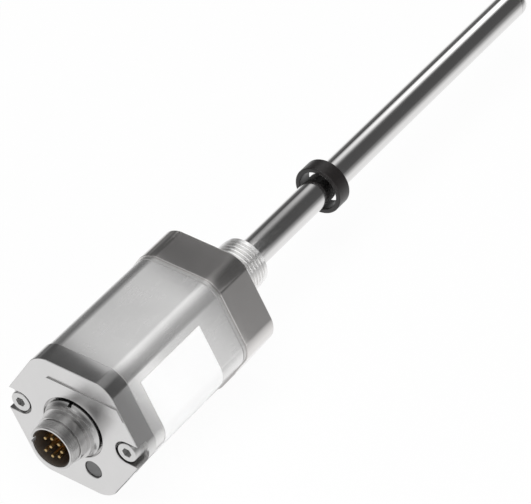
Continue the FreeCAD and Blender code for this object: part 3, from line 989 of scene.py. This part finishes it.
@dataclass
class Housing:
    """The extruded tube with its foil label and end seals."""

    flats: float = 45.0
    corner: float = 7.0
    wall: float = 3.0
    start: float = start_of("housing_tube")
    end: float = end_of("housing_tube")
    channel: float = 4.4
    screw_hole: float = 2.2
    seal_flats: float = 44.96
    label_start: float = start_of("label")
    label_end: float = end_of("label")
    label_reach: float = 19.6
    label_turn: float = 60.0
    label_thickness: float = 0.15
    label_edge: float = 0.05

    def build(self) -> None:
        """Builds and dresses the tube, the seal at each end and the label."""
        tube = self.section("housing_tube_satin", self.flats, self.start, self.end)
        tube.finish(TUBE_METAL, "tube_aluminium", ("housing_tube",))
        for node in ("cap_gasket", "flange_gasket"):
            seal = self.section(f"{node}_lip", self.seal_flats, start_of(node), end_of(node))
            seal.finish(GASKET_GREY, "seal_rubber", (node,))
        self.build_label()

    def section(self, name: str, flats: float, start: float, end: float) -> Bench:
        """A hexagonal bar, hollowed, with a drilled screw channel at each side.

        Args:
            name: the piece's name.
            flats: size across its outer flats.
            start: start along the axis.
            end: end along the axis.

        Returns:
            The new piece.
        """
        piece = Bench.hexagon(name, flats, self.corner - (self.flats - flats) / 2, start, end)
        hollow = Bench.hexagon("hollow", self.flats - 2 * self.wall, self.corner - self.wall,
                               start - PAST, end + PAST)
        for side in SIDES:
            hollow.cut_bar(SMALL_ROUND, self.channel, start - 2 * PAST, end + 2 * PAST, side * SCREW_OFFSET)
        piece.join(Join.CUT, hollow)
        for side in SIDES:
            piece.cut_bar(SMALL_ROUND, self.screw_hole, start - PAST, end + PAST, side * SCREW_OFFSET)
        return piece

    def build_label(self) -> None:
        """The outer skin of the right-hand corner, trimmed and given the foil's thickness."""
        label = Bench.hexagon("label_foil", self.flats, self.corner, self.label_start, self.label_end)
        label.select_faces(lambda middle, normal: abs(normal.x) > FACING)
        with label.editing(Pick.FACES):
            bpy.ops.mesh.delete(type="ONLY_FACE")
        corner = -self.flats / math.sqrt(3)
        for side in SIDES:
            y, z = around(side * self.label_turn, 1.0)
            label.bisect((0, corner + y * self.label_reach, z * self.label_reach), (0, y, z), fill=False)
        label.modify("SOLIDIFY", thickness=self.label_thickness * MM, offset=1.0)
        label.soften(self.label_edge)
        label.finish(LABEL_WHITE, "label_foil", ("label",))


@dataclass
class Cap:
    """The rear cap with its screws and status window."""

    flats: float = 46.0
    corner: float = 7.5
    front: float = CAP_FRONT
    back: float = end_of("rear_cap")
    edge: float = 0.3
    back_edge: float = 0.1
    hole_edge: float = 0.15
    screw_hole: float = 2.2
    pocket: float = 4.2
    pocket_lip: float = 0.5
    pocket_floor: float = front + 4.2
    recess: float = 11.0
    recess_floor: float = end_of("connector_seal")
    bore: float = 7.52
    nut_pocket: float = 11.5
    nut_floor: float = start_of("connector_nut")
    bar_low: float = 12.5
    bar_high: float = 16.4
    bar_left: float = 9.6
    bar_round: float = 1.5
    head_top: float = start_of("tie_screws")
    head_radius: float = 3.45
    head_ridges: int = 30
    head_knurl: float = 1.014
    head_edge: float = 0.35
    screw_edge: float = 0.06
    screw_edge_angle: float = 50.0
    socket_flats: float = 3.0
    socket_depth: float = 2.2
    shank: float = 1.98
    screw_tip: float = end_of("tie_screws")
    window: tuple[float, float] = middle_of("status_window")
    window_recess: float = 3.15
    window_floor: float = front + 2.0
    window_front: float = front + 0.55
    window_radius: float = 3.08
    window_edge: float = 0.3
    stem: float = 2.1
    stem_start: float = window_floor - 0.5
    stem_hole: float = 2.25
    stem_end: float = end_of("status_window")

    def build(self) -> None:
        """Builds and dresses the cap, both screws and the window."""
        self.build_cap()
        self.build_screws()
        self.build_window()

    def build_cap(self) -> None:
        """A hexagonal plate with open pockets, broken edges and a raised bar, then every bore."""
        cap = Bench.hexagon("rear_cap_plate", self.flats, self.corner, self.front, self.back)
        for side in SIDES:
            cap.join(Join.CUT, self.screw_pocket(side))
        cap.bevel(self.at_pocket_lip, self.pocket_lip, steps=5)
        for x, width in ((self.front, self.edge), (self.back, self.back_edge)):
            cap.bevel(at_station(x), width, steps=3)
        cap.join(Join.FUSE, self.raised_bar())
        for side in SIDES:
            cap.cut_bar(SMALL_ROUND, self.screw_hole, self.front - PAST, self.back + PAST,
                        side * SCREW_OFFSET)
        cap.sink_bar(self.recess, self.front, self.recess_floor, self.hole_edge)
        cap.cut_bar(ROUND, self.nut_pocket, self.nut_floor, self.back + PAST)
        cap.cut_bar(ROUND, self.bore, self.front - PAST, self.back + PAST)
        cap.sink_bar(self.window_recess, self.front, self.window_floor, self.hole_edge, *self.window)
        cap.cut_bar(SMALL_ROUND, self.stem_hole, self.front - PAST, self.back + PAST, *self.window)
        cap.finish(CAP_METAL, "cap_metal", ("rear_cap",))

    def at_pocket_lip(self, a: Vector, b: Vector) -> bool:
        """Whether an edge is a long one where a screw pocket breaks out through the plate's side."""
        return (abs(a.x - b.x) > PAST and min(abs(a.y), abs(b.y)) > SCREW_OFFSET + TINY
                and abs(abs(a.z) - self.pocket) < TINY)

    def raised_bar(self) -> Bench:
        """The shallow bar on the front, rounded at its left end and trimmed to the hexagon.

        Returns:
            The bar, sunk into the plate by its own height.
        """
        root = self.front + BAR_HEIGHT
        bar = Bench.box("bar", (self.front - BAR_HEIGHT, -self.flats, self.bar_low),
                        (root, self.bar_left, self.bar_high))
        bar.bevel(lambda a, b: min(a.y, b.y) > self.bar_left - TINY and abs(a.x - b.x) > TINY,
                  self.bar_round, steps=6)
        inner = Bench.hexagon("outline", self.flats - 2 * SEAT, self.corner - SEAT,
                              self.front - PAST, root + PAST)
        bar.join(Join.KEEP_COMMON, inner)
        return bar

    def screw_pocket(self, side: int) -> Bench:
        """A round pocket whose outer half is drawn out past the corner.

        Args:
            side: 1 for the pocket at +Y, -1 for the one at -Y.

        Returns:
            The cutter for the pocket.
        """
        y = side * SCREW_OFFSET
        pocket = Bench.bar("pocket", MID_ROUND, self.pocket, self.front - PAST, self.pocket_floor, y)
        pocket.move_points(lambda p: (p.y - y) * side > TINY, (0, side * self.corner * 2, 0))
        return pocket

    def build_screws(self) -> None:
        """One socket head screw, modelled once and copied to the other side."""
        y, top, floor = SCREW_OFFSET, self.head_top, self.pocket_floor
        screw = Bench.bar("tie_screw_left", 2 * self.head_ridges, self.head_radius, top, floor, y)
        screw.bevel(at_station(top), self.head_edge, steps=3)
        screw.select_points(lambda p: abs(math.hypot(p.y - y, p.z) - self.head_radius) < TINY
                            and round(math.atan2(p.z, p.y - y) / math.pi * self.head_ridges) % 2 == 0)
        with screw.editing(Pick.POINTS):
            bpy.ops.transform.resize(value=(1, self.head_knurl, self.head_knurl),
                                     center_override=metres((0, y, 0)))
        screw.join(Join.FUSE, Bench.bar("shank", SMALL_ROUND, self.shank, floor - self.head_edge,
                                        self.screw_tip, y))
        screw.join(Join.CUT, Bench.bar("socket", 6, self.socket_flats / math.sqrt(3), top - PAST,
                                       top + self.socket_depth, y))
        screw.soften(self.screw_edge, self.screw_edge_angle)
        other = screw.copy_to("tie_screw_right", (0, -2 * y, 0))
        for piece in (screw, other):
            piece.finish(SCREW_STEEL, "screw_steel", ("tie_screws",))

    def build_window(self) -> None:
        """The light guide: a disc with a soft edge, and its stem."""
        window = Bench.bar("status_window_guide", MID_ROUND, self.window_radius, self.window_front,
                           self.window_floor, *self.window)
        window.bevel(at_station(self.window_front), self.window_edge, steps=4)
        window.join(Join.FUSE, Bench.bar("stem", SMALL_ROUND, self.stem, self.stem_start, self.stem_end,
                                         *self.window))
        window.finish(WINDOW_SMOKE, "window_plastic", ("status_window",))
        dress("status_led", LAMP_CLEAR)
        dress("led_board", BOARD_GREEN)


@dataclass
class Flange:
    """The mounting flange: hexagon, collar and threaded spigot, with the O-ring at its root."""

    flats: float = 46.0
    corner: float = 7.5
    edge: float = 0.3
    collar_flats: float = 45.0
    collar_corner: float = 7.0
    collar_front: float = start_of("mounting_flange")
    front: float = collar_front + 1.2
    root: float = 7.7
    groove_floor: float = start_of("flange_o_ring")
    groove_outer: float = 10.2
    rod_bore: float = 5.12
    rod_seat: float = start_of("sensing_rod")
    passage: float = 4.1
    passage_pocket: float = 8.0
    pocket_depth: float = 4.0
    tapped: float = 2.02
    tapped_depth: float = 10.0
    thread: Thread = Thread(radius=9.0, pitch=1.5, start=2.2, end=19.6, lead=0.9, tail=0.4,
                            depth_share=0.42, root_share=0.3, crest_share=0.3)
    relief_end: float = thread.start - 0.4
    core_start: float = thread.start + 0.1
    core_end: float = thread.end - 0.3
    pilot: float = 8.75
    end: float = end_of("mounting_flange")
    end_edge: float = 0.5

    def build(self) -> None:
        """Builds and dresses the head and the spigot, and dresses the O-ring."""
        self.build_head()
        self.build_spigot()
        dress("flange_o_ring", SEAL_RUBBER)

    def build_head(self) -> None:
        """The hexagon with its collar, bored and grooved."""
        head = Bench.hexagon("flange_hexagon", self.flats, self.corner, self.front, 0)
        for x in (self.front, 0):
            head.bevel(at_station(x), self.edge, steps=3)
        head.cut_bar(ROUND, self.groove_outer, self.groove_floor, PAST)
        head.cut_bar(ROUND, self.rod_bore, self.rod_seat, PAST)
        head.cut_bar(MID_ROUND, self.passage, self.front - PAST, self.rod_seat + PAST)
        collar = Bench.hexagon("flange_collar", self.collar_flats, self.collar_corner,
                               self.collar_front, self.front)
        outside = self.collar_front - PAST
        for piece in (head, collar):
            piece.cut_bar(MID_ROUND, self.passage_pocket, outside, self.collar_front + self.pocket_depth)
            for side in SIDES:
                piece.cut_bar(SMALL_ROUND, self.tapped, outside, self.collar_front + self.tapped_depth,
                              side * SCREW_OFFSET)
        head.finish(FLANGE_STEEL, "flange_steel", ("mounting_flange",))
        collar.finish(COLLAR_METAL, "flange_steel", ("mounting_flange",))

    def build_spigot(self) -> None:
        """A turned core with a relief and a plain end, and the thread wound on it."""
        core = self.thread.core
        spigot = Bench.turned("flange_spigot", [
            (self.groove_floor, self.rod_bore), (self.groove_floor, self.root), (self.relief_end, self.root),
            (self.core_start, core), (self.core_end, core), (self.thread.end, self.pilot),
            (self.end - self.end_edge, self.pilot), (self.end, self.pilot - self.end_edge),
            (self.end, self.rod_bore)])
        spigot.join(Join.FUSE, self.thread.build())
        spigot.finish(THREAD_STEEL, "flange_steel", ("mounting_flange",))


@dataclass
class Rod:
    """The pressure rod and its welded end."""

    radius: float = 5.1
    bore: float = 4.1
    start: float = start_of("sensing_rod")
    plug_start: float = end_of("sensing_rod")
    end: float = end_of("rod_end_plug")
    tip_round: float = 3.5
    seam: float = 0.12
    spigot_start: float = start_of("rod_end_plug")

    def build(self) -> None:
        """Builds and dresses the tube and the plug."""
        tube = Bench.turned("sensing_rod_tube", [
            (self.start, self.bore), (self.start, self.radius),
            (self.plug_start - 2 * self.seam, self.radius), (self.plug_start, self.radius - self.seam),
            (self.plug_start, self.bore)])
        tube.finish(ROD_STEEL, "rod_steel", ("sensing_rod",))
        plug = Bench.bar("rod_end_cap", ROUND, self.radius, self.plug_start, self.end)
        plug.bevel(at_station(self.end), self.tip_round, steps=12)
        plug.bevel(at_station(self.plug_start), self.seam, steps=2)
        plug.join(Join.FUSE, Bench.bar("spigot", MID_ROUND, self.bore - SEAT, self.spigot_start,
                                       self.plug_start + PAST))
        plug.finish(ROD_STEEL, "rod_steel", ("rod_end_plug",))


@dataclass
class RingMagnet:
    """The ring magnet that travels along the rod."""

    outer: float = 8.7
    bore: float = 7.0
    start: float = start_of("position_magnet")
    end: float = end_of("position_magnet")
    edge: float = 0.4

    def build(self) -> None:
        """A turned ring with rounded edges, on its own body."""
        ring = Bench.turned("position_magnet_ring", [
            (self.start, self.bore), (self.start, self.outer), (self.end, self.outer), (self.end, self.bore)])
        ring.bevel(lambda a, b: abs(a.x - b.x) < TINY
                   and abs(math.hypot(a.y, a.z) - math.hypot(b.y, b.z)) < TINY, self.edge, steps=4)
        ring.finish(MAGNET_BLACK, "magnet_black", ("position_magnet",), "magnet")


@dataclass
class Connector:
    """The round connector: shell, insert and pins."""

    mouth: float = start_of("connector_shell")
    rim: float = 7.5
    bore: float = 6.9
    shoulder: float = mouth + 9.2
    rear_bore: float = 6.1
    thread: Thread = Thread(radius=7.8, pitch=0.75, start=mouth + 0.25, end=mouth + 3.8, lead=0.3, tail=0.3,
                            depth_share=0.12, root_share=0.42, crest_share=0.46, steps=ROUND)
    collar: float = 8.3
    collar_start: float = mouth + 4.2
    collar_end: float = collar_start + 3.4
    step: float = 9.2
    base: float = 10.25
    base_back: float = start_of("connector_seal")
    base_front: float = base_back - 2.3
    flare_start: float = collar_end + 1.0
    flare_turn: float = 32.0
    flare_steps: int = 8
    barrel: float = 7.5
    barrel_end: float = end_of("connector_shell")
    edge: float = 0.08
    key_width: float = 1.8
    key_depth: float = 1.4
    notch_width: float = 1.2
    notch_floor: float = 9.2
    notch_run: float = 0.9
    insert_front: float = start_of("connector_insert")
    sleeve_start: float = mouth + 0.35
    sleeve_wall: float = 0.25
    insert_rim: float = 0.7
    insert_dish: float = 0.25
    insert_edge: float = 0.05
    pin_circle: float = 3.55
    pin_slots: int = 8
    middle_pin_shift: float = 0.5
    pin_tip: float = start_of("contact_pins")
    pin_end: float = end_of("contact_pins")
    pin_radius: float = 0.55
    pin_round: float = pin_radius * 0.4
    pin_cup_wall: float = pin_radius * 0.3
    pin_cup_depth: float = 0.8
    pin_collar: float = 0.95

    def build(self) -> None:
        """Builds and dresses the shell, the insert and the pins, and dresses seal and nut."""
        self.build_shell()
        self.build_insert()
        self.build_pins()
        dress("connector_seal", SEAL_RUBBER)
        dress("connector_nut", SHELL_NICKEL)

    def build_shell(self) -> None:
        """A turned shell with its thread wound on, then the key slot and the spanner notch."""
        shell = Bench.turned("connector_shell_nickel", [
            (self.mouth, self.bore), (self.mouth, self.rim), (self.collar_start, self.rim),
            (self.collar_start, self.collar), (self.collar_end, self.collar), (self.collar_end, self.step),
            *self.flare(), (self.base_back, self.base), (self.base_back, self.barrel),
            (self.barrel_end, self.barrel), (self.barrel_end, self.rear_bore),
            (self.shoulder, self.rear_bore), (self.shoulder, self.bore)])
        for station, radius in ((self.mouth, self.bore), (self.mouth, self.rim),
                                (self.collar_start, self.collar), (self.collar_end, self.step)):
            shell.bevel(at_ring(station, radius), self.edge, steps=2)
        shell.join(Join.FUSE, self.thread.build())
        shell.join(Join.CUT, self.key())
        notch = self.notch_width / 2
        shell.join(Join.CUT, Bench.box("notch", (self.base_front - self.notch_run, -notch, self.notch_floor),
                                       (self.base_back + PAST, notch, self.base + PAST)))
        shell.finish(SHELL_NICKEL, "connector_nickel", ("connector_shell",))

    def flare(self) -> Profile:
        """The hollow curve from the step to the base, as part of an ellipse.

        Returns:
            (station, radius) points from the step's end to the base's front.
        """
        turns = [math.radians(self.flare_turn * k / self.flare_steps) for k in range(self.flare_steps + 1)]
        width, rise = math.sin(turns[-1]), 1 - math.cos(turns[-1])
        return [(self.flare_start + (self.base_front - self.flare_start) * math.sin(turn) / width,
                 self.step + (self.base - self.step) * (1 - math.cos(turn)) / rise) for turn in turns]

    def key(self) -> Bench:
        """The slot in the mouth that takes the plug's key.

        Returns:
            The cutter for the slot.
        """
        half = self.key_width / 2
        return Bench.box("key", (self.mouth - PAST, self.bore / 2, -half),
                         (self.mouth + self.key_depth, self.base, half))

    def pin_places(self) -> list[tuple[float, float]]:
        """Seven places on a circle, with the key's place left free, and one near the middle.

        Returns:
            The (y, z) place of each pin.
        """
        turn = 360 / self.pin_slots
        ring = [around(turn * k, self.pin_circle) for k in range(1, self.pin_slots)]
        return ring + [(self.middle_pin_shift, 0.0)]

    def build_insert(self) -> None:
        """The sleeve in the mouth, and the contact carrier with a rim and a small collar round each pin."""
        inner, outer = self.bore - self.sleeve_wall, self.bore - SEAT
        sleeve = Bench.turned("connector_insert_sleeve", [
            (self.sleeve_start, inner), (self.sleeve_start, outer), (self.insert_front, outer),
            (self.insert_front, inner)])
        sleeve.join(Join.CUT, self.key())
        sleeve.soften(self.edge)
        sleeve.finish(SLEEVE_GREY, "insert_plastic", ("connector_insert",))
        insert = Bench.bar("connector_insert_brown", ROUND, self.bore - SEAT, self.insert_front,
                           self.shoulder)
        insert.inset(lambda middle, normal: normal.x < -FACING, self.insert_rim, (self.insert_dish, 0, 0))
        insert.join(Join.FUSE, Bench.bar("rear", ROUND, self.rear_bore - SEAT, self.shoulder - PAST,
                                         self.barrel_end))
        for y, z in self.pin_places():
            insert.join(Join.FUSE, Bench.bar("collar", PIN_ROUND, self.pin_collar,
                                             self.insert_front + self.edge, self.shoulder, y, z))
        insert.soften(self.insert_edge)
        for y, z in self.pin_places():
            insert.cut_bar(PIN_ROUND, self.pin_radius + SEAT, self.insert_front - PAST,
                           self.barrel_end + PAST, y, z)
        insert.finish(INSERT_PLASTIC, "insert_plastic", ("connector_insert",))

    def build_pins(self) -> None:
        """One pin with a rounded tip and a solder cup, modelled once and copied to the other places."""
        places = self.pin_places()
        pin = Bench.bar("contact_pin_1", PIN_ROUND, self.pin_radius, self.pin_tip, self.pin_end, *places[0])
        pin.bevel(at_station(self.pin_tip), self.pin_round, steps=3)
        pin.inset(lambda middle, normal: normal.x > FACING, self.pin_cup_wall, (-self.pin_cup_depth, 0, 0))
        pins = [pin]
        for k, (y, z) in enumerate(places[1:], start=2):
            pins.append(pin.copy_to(f"contact_pin_{k}", (0, y - places[0][0], z - places[0][1])))
        for piece in pins:
            piece.finish(PIN_GOLD, "pin_gold", ("contact_pins",))


@dataclass
class Electronics:
    """What is inside the tube and the rod: CAD nodes that keep their shape."""

    finishes: dict[str, Finish] = field(default_factory=lambda: {
        "electronics_carrier": CRADLE_PLASTIC, "circuit_board": BOARD_GREEN, "board_chips": CHIP_BLACK,
        "board_capacitors": CAN_METAL, "lead_header": HEADER_CREAM, "lead_bundle": LEAD_SLEEVE,
        "waveguide_wire": WIRE_ALLOY, "waveguide_sleeve": WHITE_SLEEVE, "sleeve_spacers": WHITE_SLEEVE,
        "tip_damper": DAMPER_RUBBER, "tip_crimp": SMALL_BRASS, "return_wire": RED_INSULATION,
        "pickup_bobbin": BOBBIN_PLASTIC, "pickup_coil": COIL_COPPER, "bias_magnet": SINTERED,
        "head_damper": DAMPER_RUBBER, "wire_anchor": SMALL_BRASS})

    def build(self) -> None:
        """Dresses every inner node."""
        for node, finish in self.finishes.items():
            dress(node, finish)


@dataclass(frozen=True)
class Softbox:
    """A rectangular lamp with an even face."""

    name: str
    place: Point
    aim: Point
    width: float
    height: float
    power: float

    def build(self) -> None:
        """Adds the lamp, turned towards its aim."""
        Bench.clear()
        bpy.ops.object.light_add(type="AREA", location=self.place)
        lamp = bpy.context.object
        lamp.name = self.name
        lamp.data.shape = "RECTANGLE"
        lamp.data.size = self.width
        lamp.data.size_y = self.height
        lamp.data.energy = self.power
        lamp.visible_camera = False
        way = Vector(self.aim) - Vector(self.place)
        lamp.rotation_euler = way.to_track_quat("-Z", "Y").to_euler()


def only_mirrored(obj: bpy.types.Object) -> None:
    """Makes a stage object that shows in gloss alone.

    Args:
        obj: a card or the canopy.
    """
    for ray in ("camera", "diffuse", "transmission", "volume_scatter", "shadow"):
        setattr(obj, f"visible_{ray}", False)


@dataclass(frozen=True)
class Card:
    """A flat studio card beside the object that metal mirrors, white or dark."""

    name: str
    low: Point
    high: Point
    level: float

    def build(self) -> None:
        """Adds a thin sheet between two corners."""
        card = Bench.box(self.name, self.low, self.high).obj
        card.data.materials.append(painted(self.name, self.sheet))
        only_mirrored(card)

    def sheet(self, graph: Graph) -> Value:
        """An even sheet that hides what is behind it."""
        return graph.glow(self.level)


@dataclass(frozen=True)
class ClearCard(Card):
    """A card on a clear sheet, whose light adds to what is behind it."""

    def sheet(self, graph: Graph) -> Value:
        """Light added to a clear sheet."""
        clear = graph.node("ShaderNodeBsdfTransparent", {}, {})
        return graph.node("ShaderNodeAddShader", {}, {0: graph.glow(self.brightness(graph)), 1: clear})

    def brightness(self, graph: Graph) -> Any:
        """How bright the card is: a number, or a value that changes over it."""
        return self.level


@dataclass(frozen=True)
class HousingCard(ClearCard):
    """A white card over the tube, brightest along a line and bowed so that its ends meet the tube's ends."""

    across: tuple[tuple[float, float], ...]
    start: float
    end: float
    fade: float
    lead: float
    bow: float
    lift: float

    def brightness(self, graph: Graph) -> Value:
        """Falls off to both sides of the line, rises towards the bowed ends and stops there.

        Args:
            graph: the card's node builder.

        Returns:
            The brightness at each point.
        """
        x, y, _ = graph.parts(graph.position())
        right, left = self.low[1], self.high[1]
        stops = [((place - right) / (left - right), (level,) * 3) for place, level in self.across]
        band = graph.node("ShaderNodeValToRGB", {"stops": stops}, {0: (y - right) / (left - right)})
        along = x - self.lead - y * y * self.bow
        inside = ((along - self.start) / self.fade).clamped() * ((self.end - along) / self.fade).clamped()
        share = (2.0 * along - (self.start + self.end)) / (self.end - self.start)
        gain = share * share * self.lift + 1.0
        return band * inside * gain * self.level


@dataclass(frozen=True)
class RodCard(ClearCard):
    """A white strip over the rod with soft sides that is dimmer near the flange."""

    dim: float
    ramp_start: float
    ramp_end: float
    right_fade: float
    left_fade: float

    def brightness(self, graph: Graph) -> Value:
        """Rises along the rod from the dim level to the full one, and fades to both sides.

        Args:
            graph: the strip's node builder.

        Returns:
            The brightness at each point.
        """
        x, y, _ = graph.parts(graph.position())
        rise = ((x - self.ramp_start) / (self.ramp_end - self.ramp_start)).clamped()
        right = ((y - self.low[1]) / self.right_fade).clamped()
        left = ((self.high[1] - y) / self.left_fade).clamped()
        return (rise * (self.level - self.dim) + self.dim) * right * left


@dataclass(frozen=True)
class Apron(Card):
    """A sheet on the floor, white under the object and dimmer far from its axis."""

    middle: float
    near: float

    def sheet(self, graph: Graph) -> Value:
        """Falls with the distance from the middle line, towards the far level.

        Args:
            graph: the sheet's node builder.

        Returns:
            The sheet's shader.
        """
        away = graph.parts(graph.position())[1] - self.middle
        share = (self.near / (away * away + TINY) ** 0.5).clamped()
        return graph.glow(share * (1.0 - self.level) + self.level)


@dataclass(frozen=True)
class Patch:
    """A soft round patch of light on the canopy."""

    centre: Point
    reach: float
    level: float

    def brightness(self, graph: Graph, way: Value) -> Value:
        """Falls to nothing away from the patch's middle, by the direction from the canopy's middle."""
        away = graph.node("ShaderNodeVectorMath", {"operation": "DISTANCE"}, {0: way, 1: self.centre}, 1)
        return (1.0 - away / self.reach).clamped() * self.level


@dataclass
class Studio:
    """Floor, soft light, the cards and canopy that metal mirrors, and the photograph's camera.

    The floor's height and the cards are in millimetres, and all else is in metres.
    """

    floor_height: float = -23.0
    floor_size: float = 6.0
    floor_colour: Colour = (0.92, 0.92, 0.92)
    floor_white: float = 0.95
    fill_level: float = 0.3
    canopy_radius: float = 0.6
    canopy_middle: float = 0.06
    canopy_segments: int = 48
    canopy_rings: int = 24
    canopy_levels: tuple[tuple[float, float], ...] = (
        (0.0, 0.33), (0.1, 0.29), (0.28, 0.10), (0.84, 0.09), (0.9, 0.26), (1.0, 0.3))
    image_width: float = 531.0
    focal_pixels: float = 3495.1
    sensor_width: float = 36.0
    camera_place: Point = (-0.67150, -0.47486, 0.72975)
    camera_way: Point = (0.62728, 0.42293, -0.65394)
    lamps: tuple[Softbox, ...] = (
        Softbox("overhead_softbox", (-0.2, 0.1, 1.3), (0.0, 0.0, 0.0), 1.2, 1.2, 13.0),
        Softbox("right_softbox", (-0.2, -1.3, 0.35), (0.0, 0.0, 0.0), 1.0, 0.8, 7.8),
    )
    cards: tuple[Card, ...] = (
        HousingCard("white_card_over_housing", (-60.0, -110.0, 55.0), (90.0, 90.0, 56.0), 1.0,
                    across=((-110.0, 0.08), (-77.0, 0.12), (-35.0, 0.16), (-15.0, 0.30), (-3.0, 0.38),
                            (8.0, 0.275), (20.0, 0.245), (34.0, 0.235), (44.0, 0.17), (53.0, 0.08),
                            (90.0, 0.04)),
                    start=-64.4, end=-15.0, fade=2.0, lead=25.0, bow=0.0055, lift=0.4),
        RodCard("white_strip_over_rod", (78.0, 2.0, 65.0), (280.0, 92.0, 66.0), 1.1,
                dim=0.14, ramp_start=100.0, ramp_end=240.0, right_fade=28.0, left_fade=46.0),
        ClearCard("white_card_over_thread", (48.0, 8.0, 65.0), (74.0, 52.0, 66.0), 0.60),
        ClearCard("white_card_over_thread_left", (66.0, 52.0, 65.0), (85.0, 86.0, 66.0), 0.50),
        ClearCard("white_card_over_thread_side", (46.0, -20.0, 65.0), (68.0, 8.0, 66.0), 0.60),
        ClearCard("white_card_beside_thread", (54.0, -46.0, 65.0), (71.0, -20.0, 66.0), 0.60),
        ClearCard("white_card_by_thread", (64.0, -68.0, 65.0), (82.0, -46.0, 66.0), 0.60),
        ClearCard("white_card_right_of_thread", (62.0, -71.0, 4.0), (76.0, -70.0, 52.0), 0.55),
        Card("white_card_left_of_thread", (66.0, 86.0, -6.0), (92.0, 87.0, 64.0), 0.55),
        ClearCard("white_card_by_right_side", (-20.5, -71.0, -8.0), (20.5, -70.0, 29.0), 0.24),
        ClearCard("white_card_by_right_start", (-20.5, -69.0, -8.0), (-13.0, -68.0, 29.0), 0.50),
        ClearCard("white_card_by_right_edge", (-16.0, -71.0, 29.0), (24.0, -70.0, 42.0), 0.17),
        Card("dark_card_by_left_side", (-90.0, 86.0, 4.0), (300.0, 87.0, 26.0), 0.17),
        # Painted shadow: these two dim sheets on the floor stand in for the object's shadow under the cap and
        # the housing, as metal mirrors it.
        Card("painted_shadow_card_under_cap", (-76.0, -30.0, -22.9), (-62.0, -14.5, -22.8), 0.30),
        Card("painted_shadow_card_under_housing", (-58.0, -24.0, -22.9), (-4.0, 16.0, -22.8), 0.62),
        Apron("apron", (-500.0, -500.0, -22.96), (600.0, 500.0, -22.94), 0.30, middle=20.0, near=60.0),
    )
    patches: tuple[Patch, ...] = (
        Patch((0.63, 0.25, 0.74), 0.36, 0.17),
        Patch((-0.57, 0.12, 0.81), 0.30, 0.65),
        Patch((-0.95, 0.15, 0.10), 0.75, 1.2),
        Patch((-0.70, -0.71, 0.0), 0.20, 0.8),
    )

    def build(self) -> None:
        """Builds the whole set."""
        self.build_floor()
        self.build_world()
        self.build_canopy()
        for item in (*self.lamps, *self.cards):
            item.build()
        self.build_camera()

    @staticmethod
    def seen_directly(graph: Graph) -> Value:
        """1 for rays from the camera and for rays in gloss or glass, 0 for the rest.

        Args:
            graph: the node builder of the floor or of the world.

        Returns:
            The share that is seen directly.
        """
        path = graph.node("ShaderNodeLightPath", {}, {}).socket.node
        rays = ("Is Camera Ray", "Is Glossy Ray", "Is Transmission Ray")
        return sum(Value(graph, path.outputs[ray]) for ray in rays).clamped()

    def build_floor(self) -> None:
        """A wide pale floor under the housing's lower flat."""
        Bench.clear()
        bpy.ops.mesh.primitive_plane_add(size=self.floor_size, location=metres((0, 0, self.floor_height)))
        floor = bpy.context.object
        floor.name = "studio_floor"
        floor.data.materials.append(painted("floor_white", self.floor_paint))

    def floor_paint(self, graph: Graph) -> Value:
        """A matte white that keeps a soft shadow, and is nearly even where it is seen directly.

        Args:
            graph: the floor's node builder.

        Returns:
            The floor's shader.
        """
        matte = graph.node("ShaderNodeBsdfDiffuse", {}, {"Color": (*self.floor_colour, 1.0)})
        share = self.seen_directly(graph) * self.floor_white
        return graph.node("ShaderNodeMixShader", {}, {0: share, 1: matte, 2: graph.glow(1.0)})

    def build_world(self) -> None:
        """A white backdrop where it is seen directly, and dim even light for everything else."""
        world = bpy.data.worlds.new("studio")
        bpy.context.scene.world = world
        world.use_nodes = True
        graph = Graph(world.node_tree)
        dim = graph.node("ShaderNodeBackground", {}, {0: WHITE, 1: self.fill_level})
        white = graph.node("ShaderNodeBackground", {}, {0: WHITE, 1: 1.0})
        mixed = graph.node("ShaderNodeMixShader", {}, {0: self.seen_directly(graph), 1: dim, 2: white})
        graph.node("ShaderNodeOutputWorld", {}, {0: mixed})

    def build_canopy(self) -> None:
        """A dim cloth canopy over the set that metal mirrors."""
        Bench.clear()
        bpy.ops.mesh.primitive_uv_sphere_add(
            segments=self.canopy_segments, ring_count=self.canopy_rings, radius=self.canopy_radius,
            location=(self.canopy_middle, 0, self.floor_height * MM))
        canopy = bpy.context.object
        canopy.name = "studio_canopy"
        canopy.data.materials.append(painted("canopy_cloth", self.canopy_cloth))
        only_mirrored(canopy)

    def canopy_cloth(self, graph: Graph) -> Value:
        """Cloth whose brightness changes with its height, and soft patches of light on it.

        Args:
            graph: the canopy's node builder.

        Returns:
            The canopy's shader.
        """
        place = graph.node("ShaderNodeTexCoord", {}, {}, "Object")
        way = graph.node("ShaderNodeVectorMath", {"operation": "NORMALIZE"}, {0: place})
        stops = [(height, (level,) * 3) for height, level in self.canopy_levels]
        cloth = graph.node("ShaderNodeValToRGB", {"stops": stops}, {0: graph.parts(way)[2]})
        patches = sum(patch.brightness(graph, way) for patch in self.patches)
        return graph.node("ShaderNodeAddShader", {}, {0: graph.glow(1.0, cloth), 1: graph.glow(patches)})

    def build_camera(self) -> None:
        """The camera, from the place and focal length that fit the photograph."""
        Bench.clear()
        bpy.ops.object.camera_add(location=self.camera_place)
        camera = bpy.context.object
        camera.rotation_euler = Vector(self.camera_way).to_track_quat("-Z", "Y").to_euler()
        camera.data.sensor_width = self.sensor_width
        camera.data.lens = self.sensor_width * self.focal_pixels / self.image_width
        bpy.context.scene.camera = camera


def main() -> None:
    """Builds every sub-assembly in order, then the studio."""
    logging.basicConfig(level=logging.INFO, format="%(message)s")
    bpy.context.scene.view_settings.view_transform = "Standard"
    for part in (Housing(), Cap(), Flange(), Rod(), RingMagnet(), Connector(), Electronics(), Studio()):
        log.info("building %s", type(part).__name__)
        part.build()


if __name__ == "__main__":
    main()
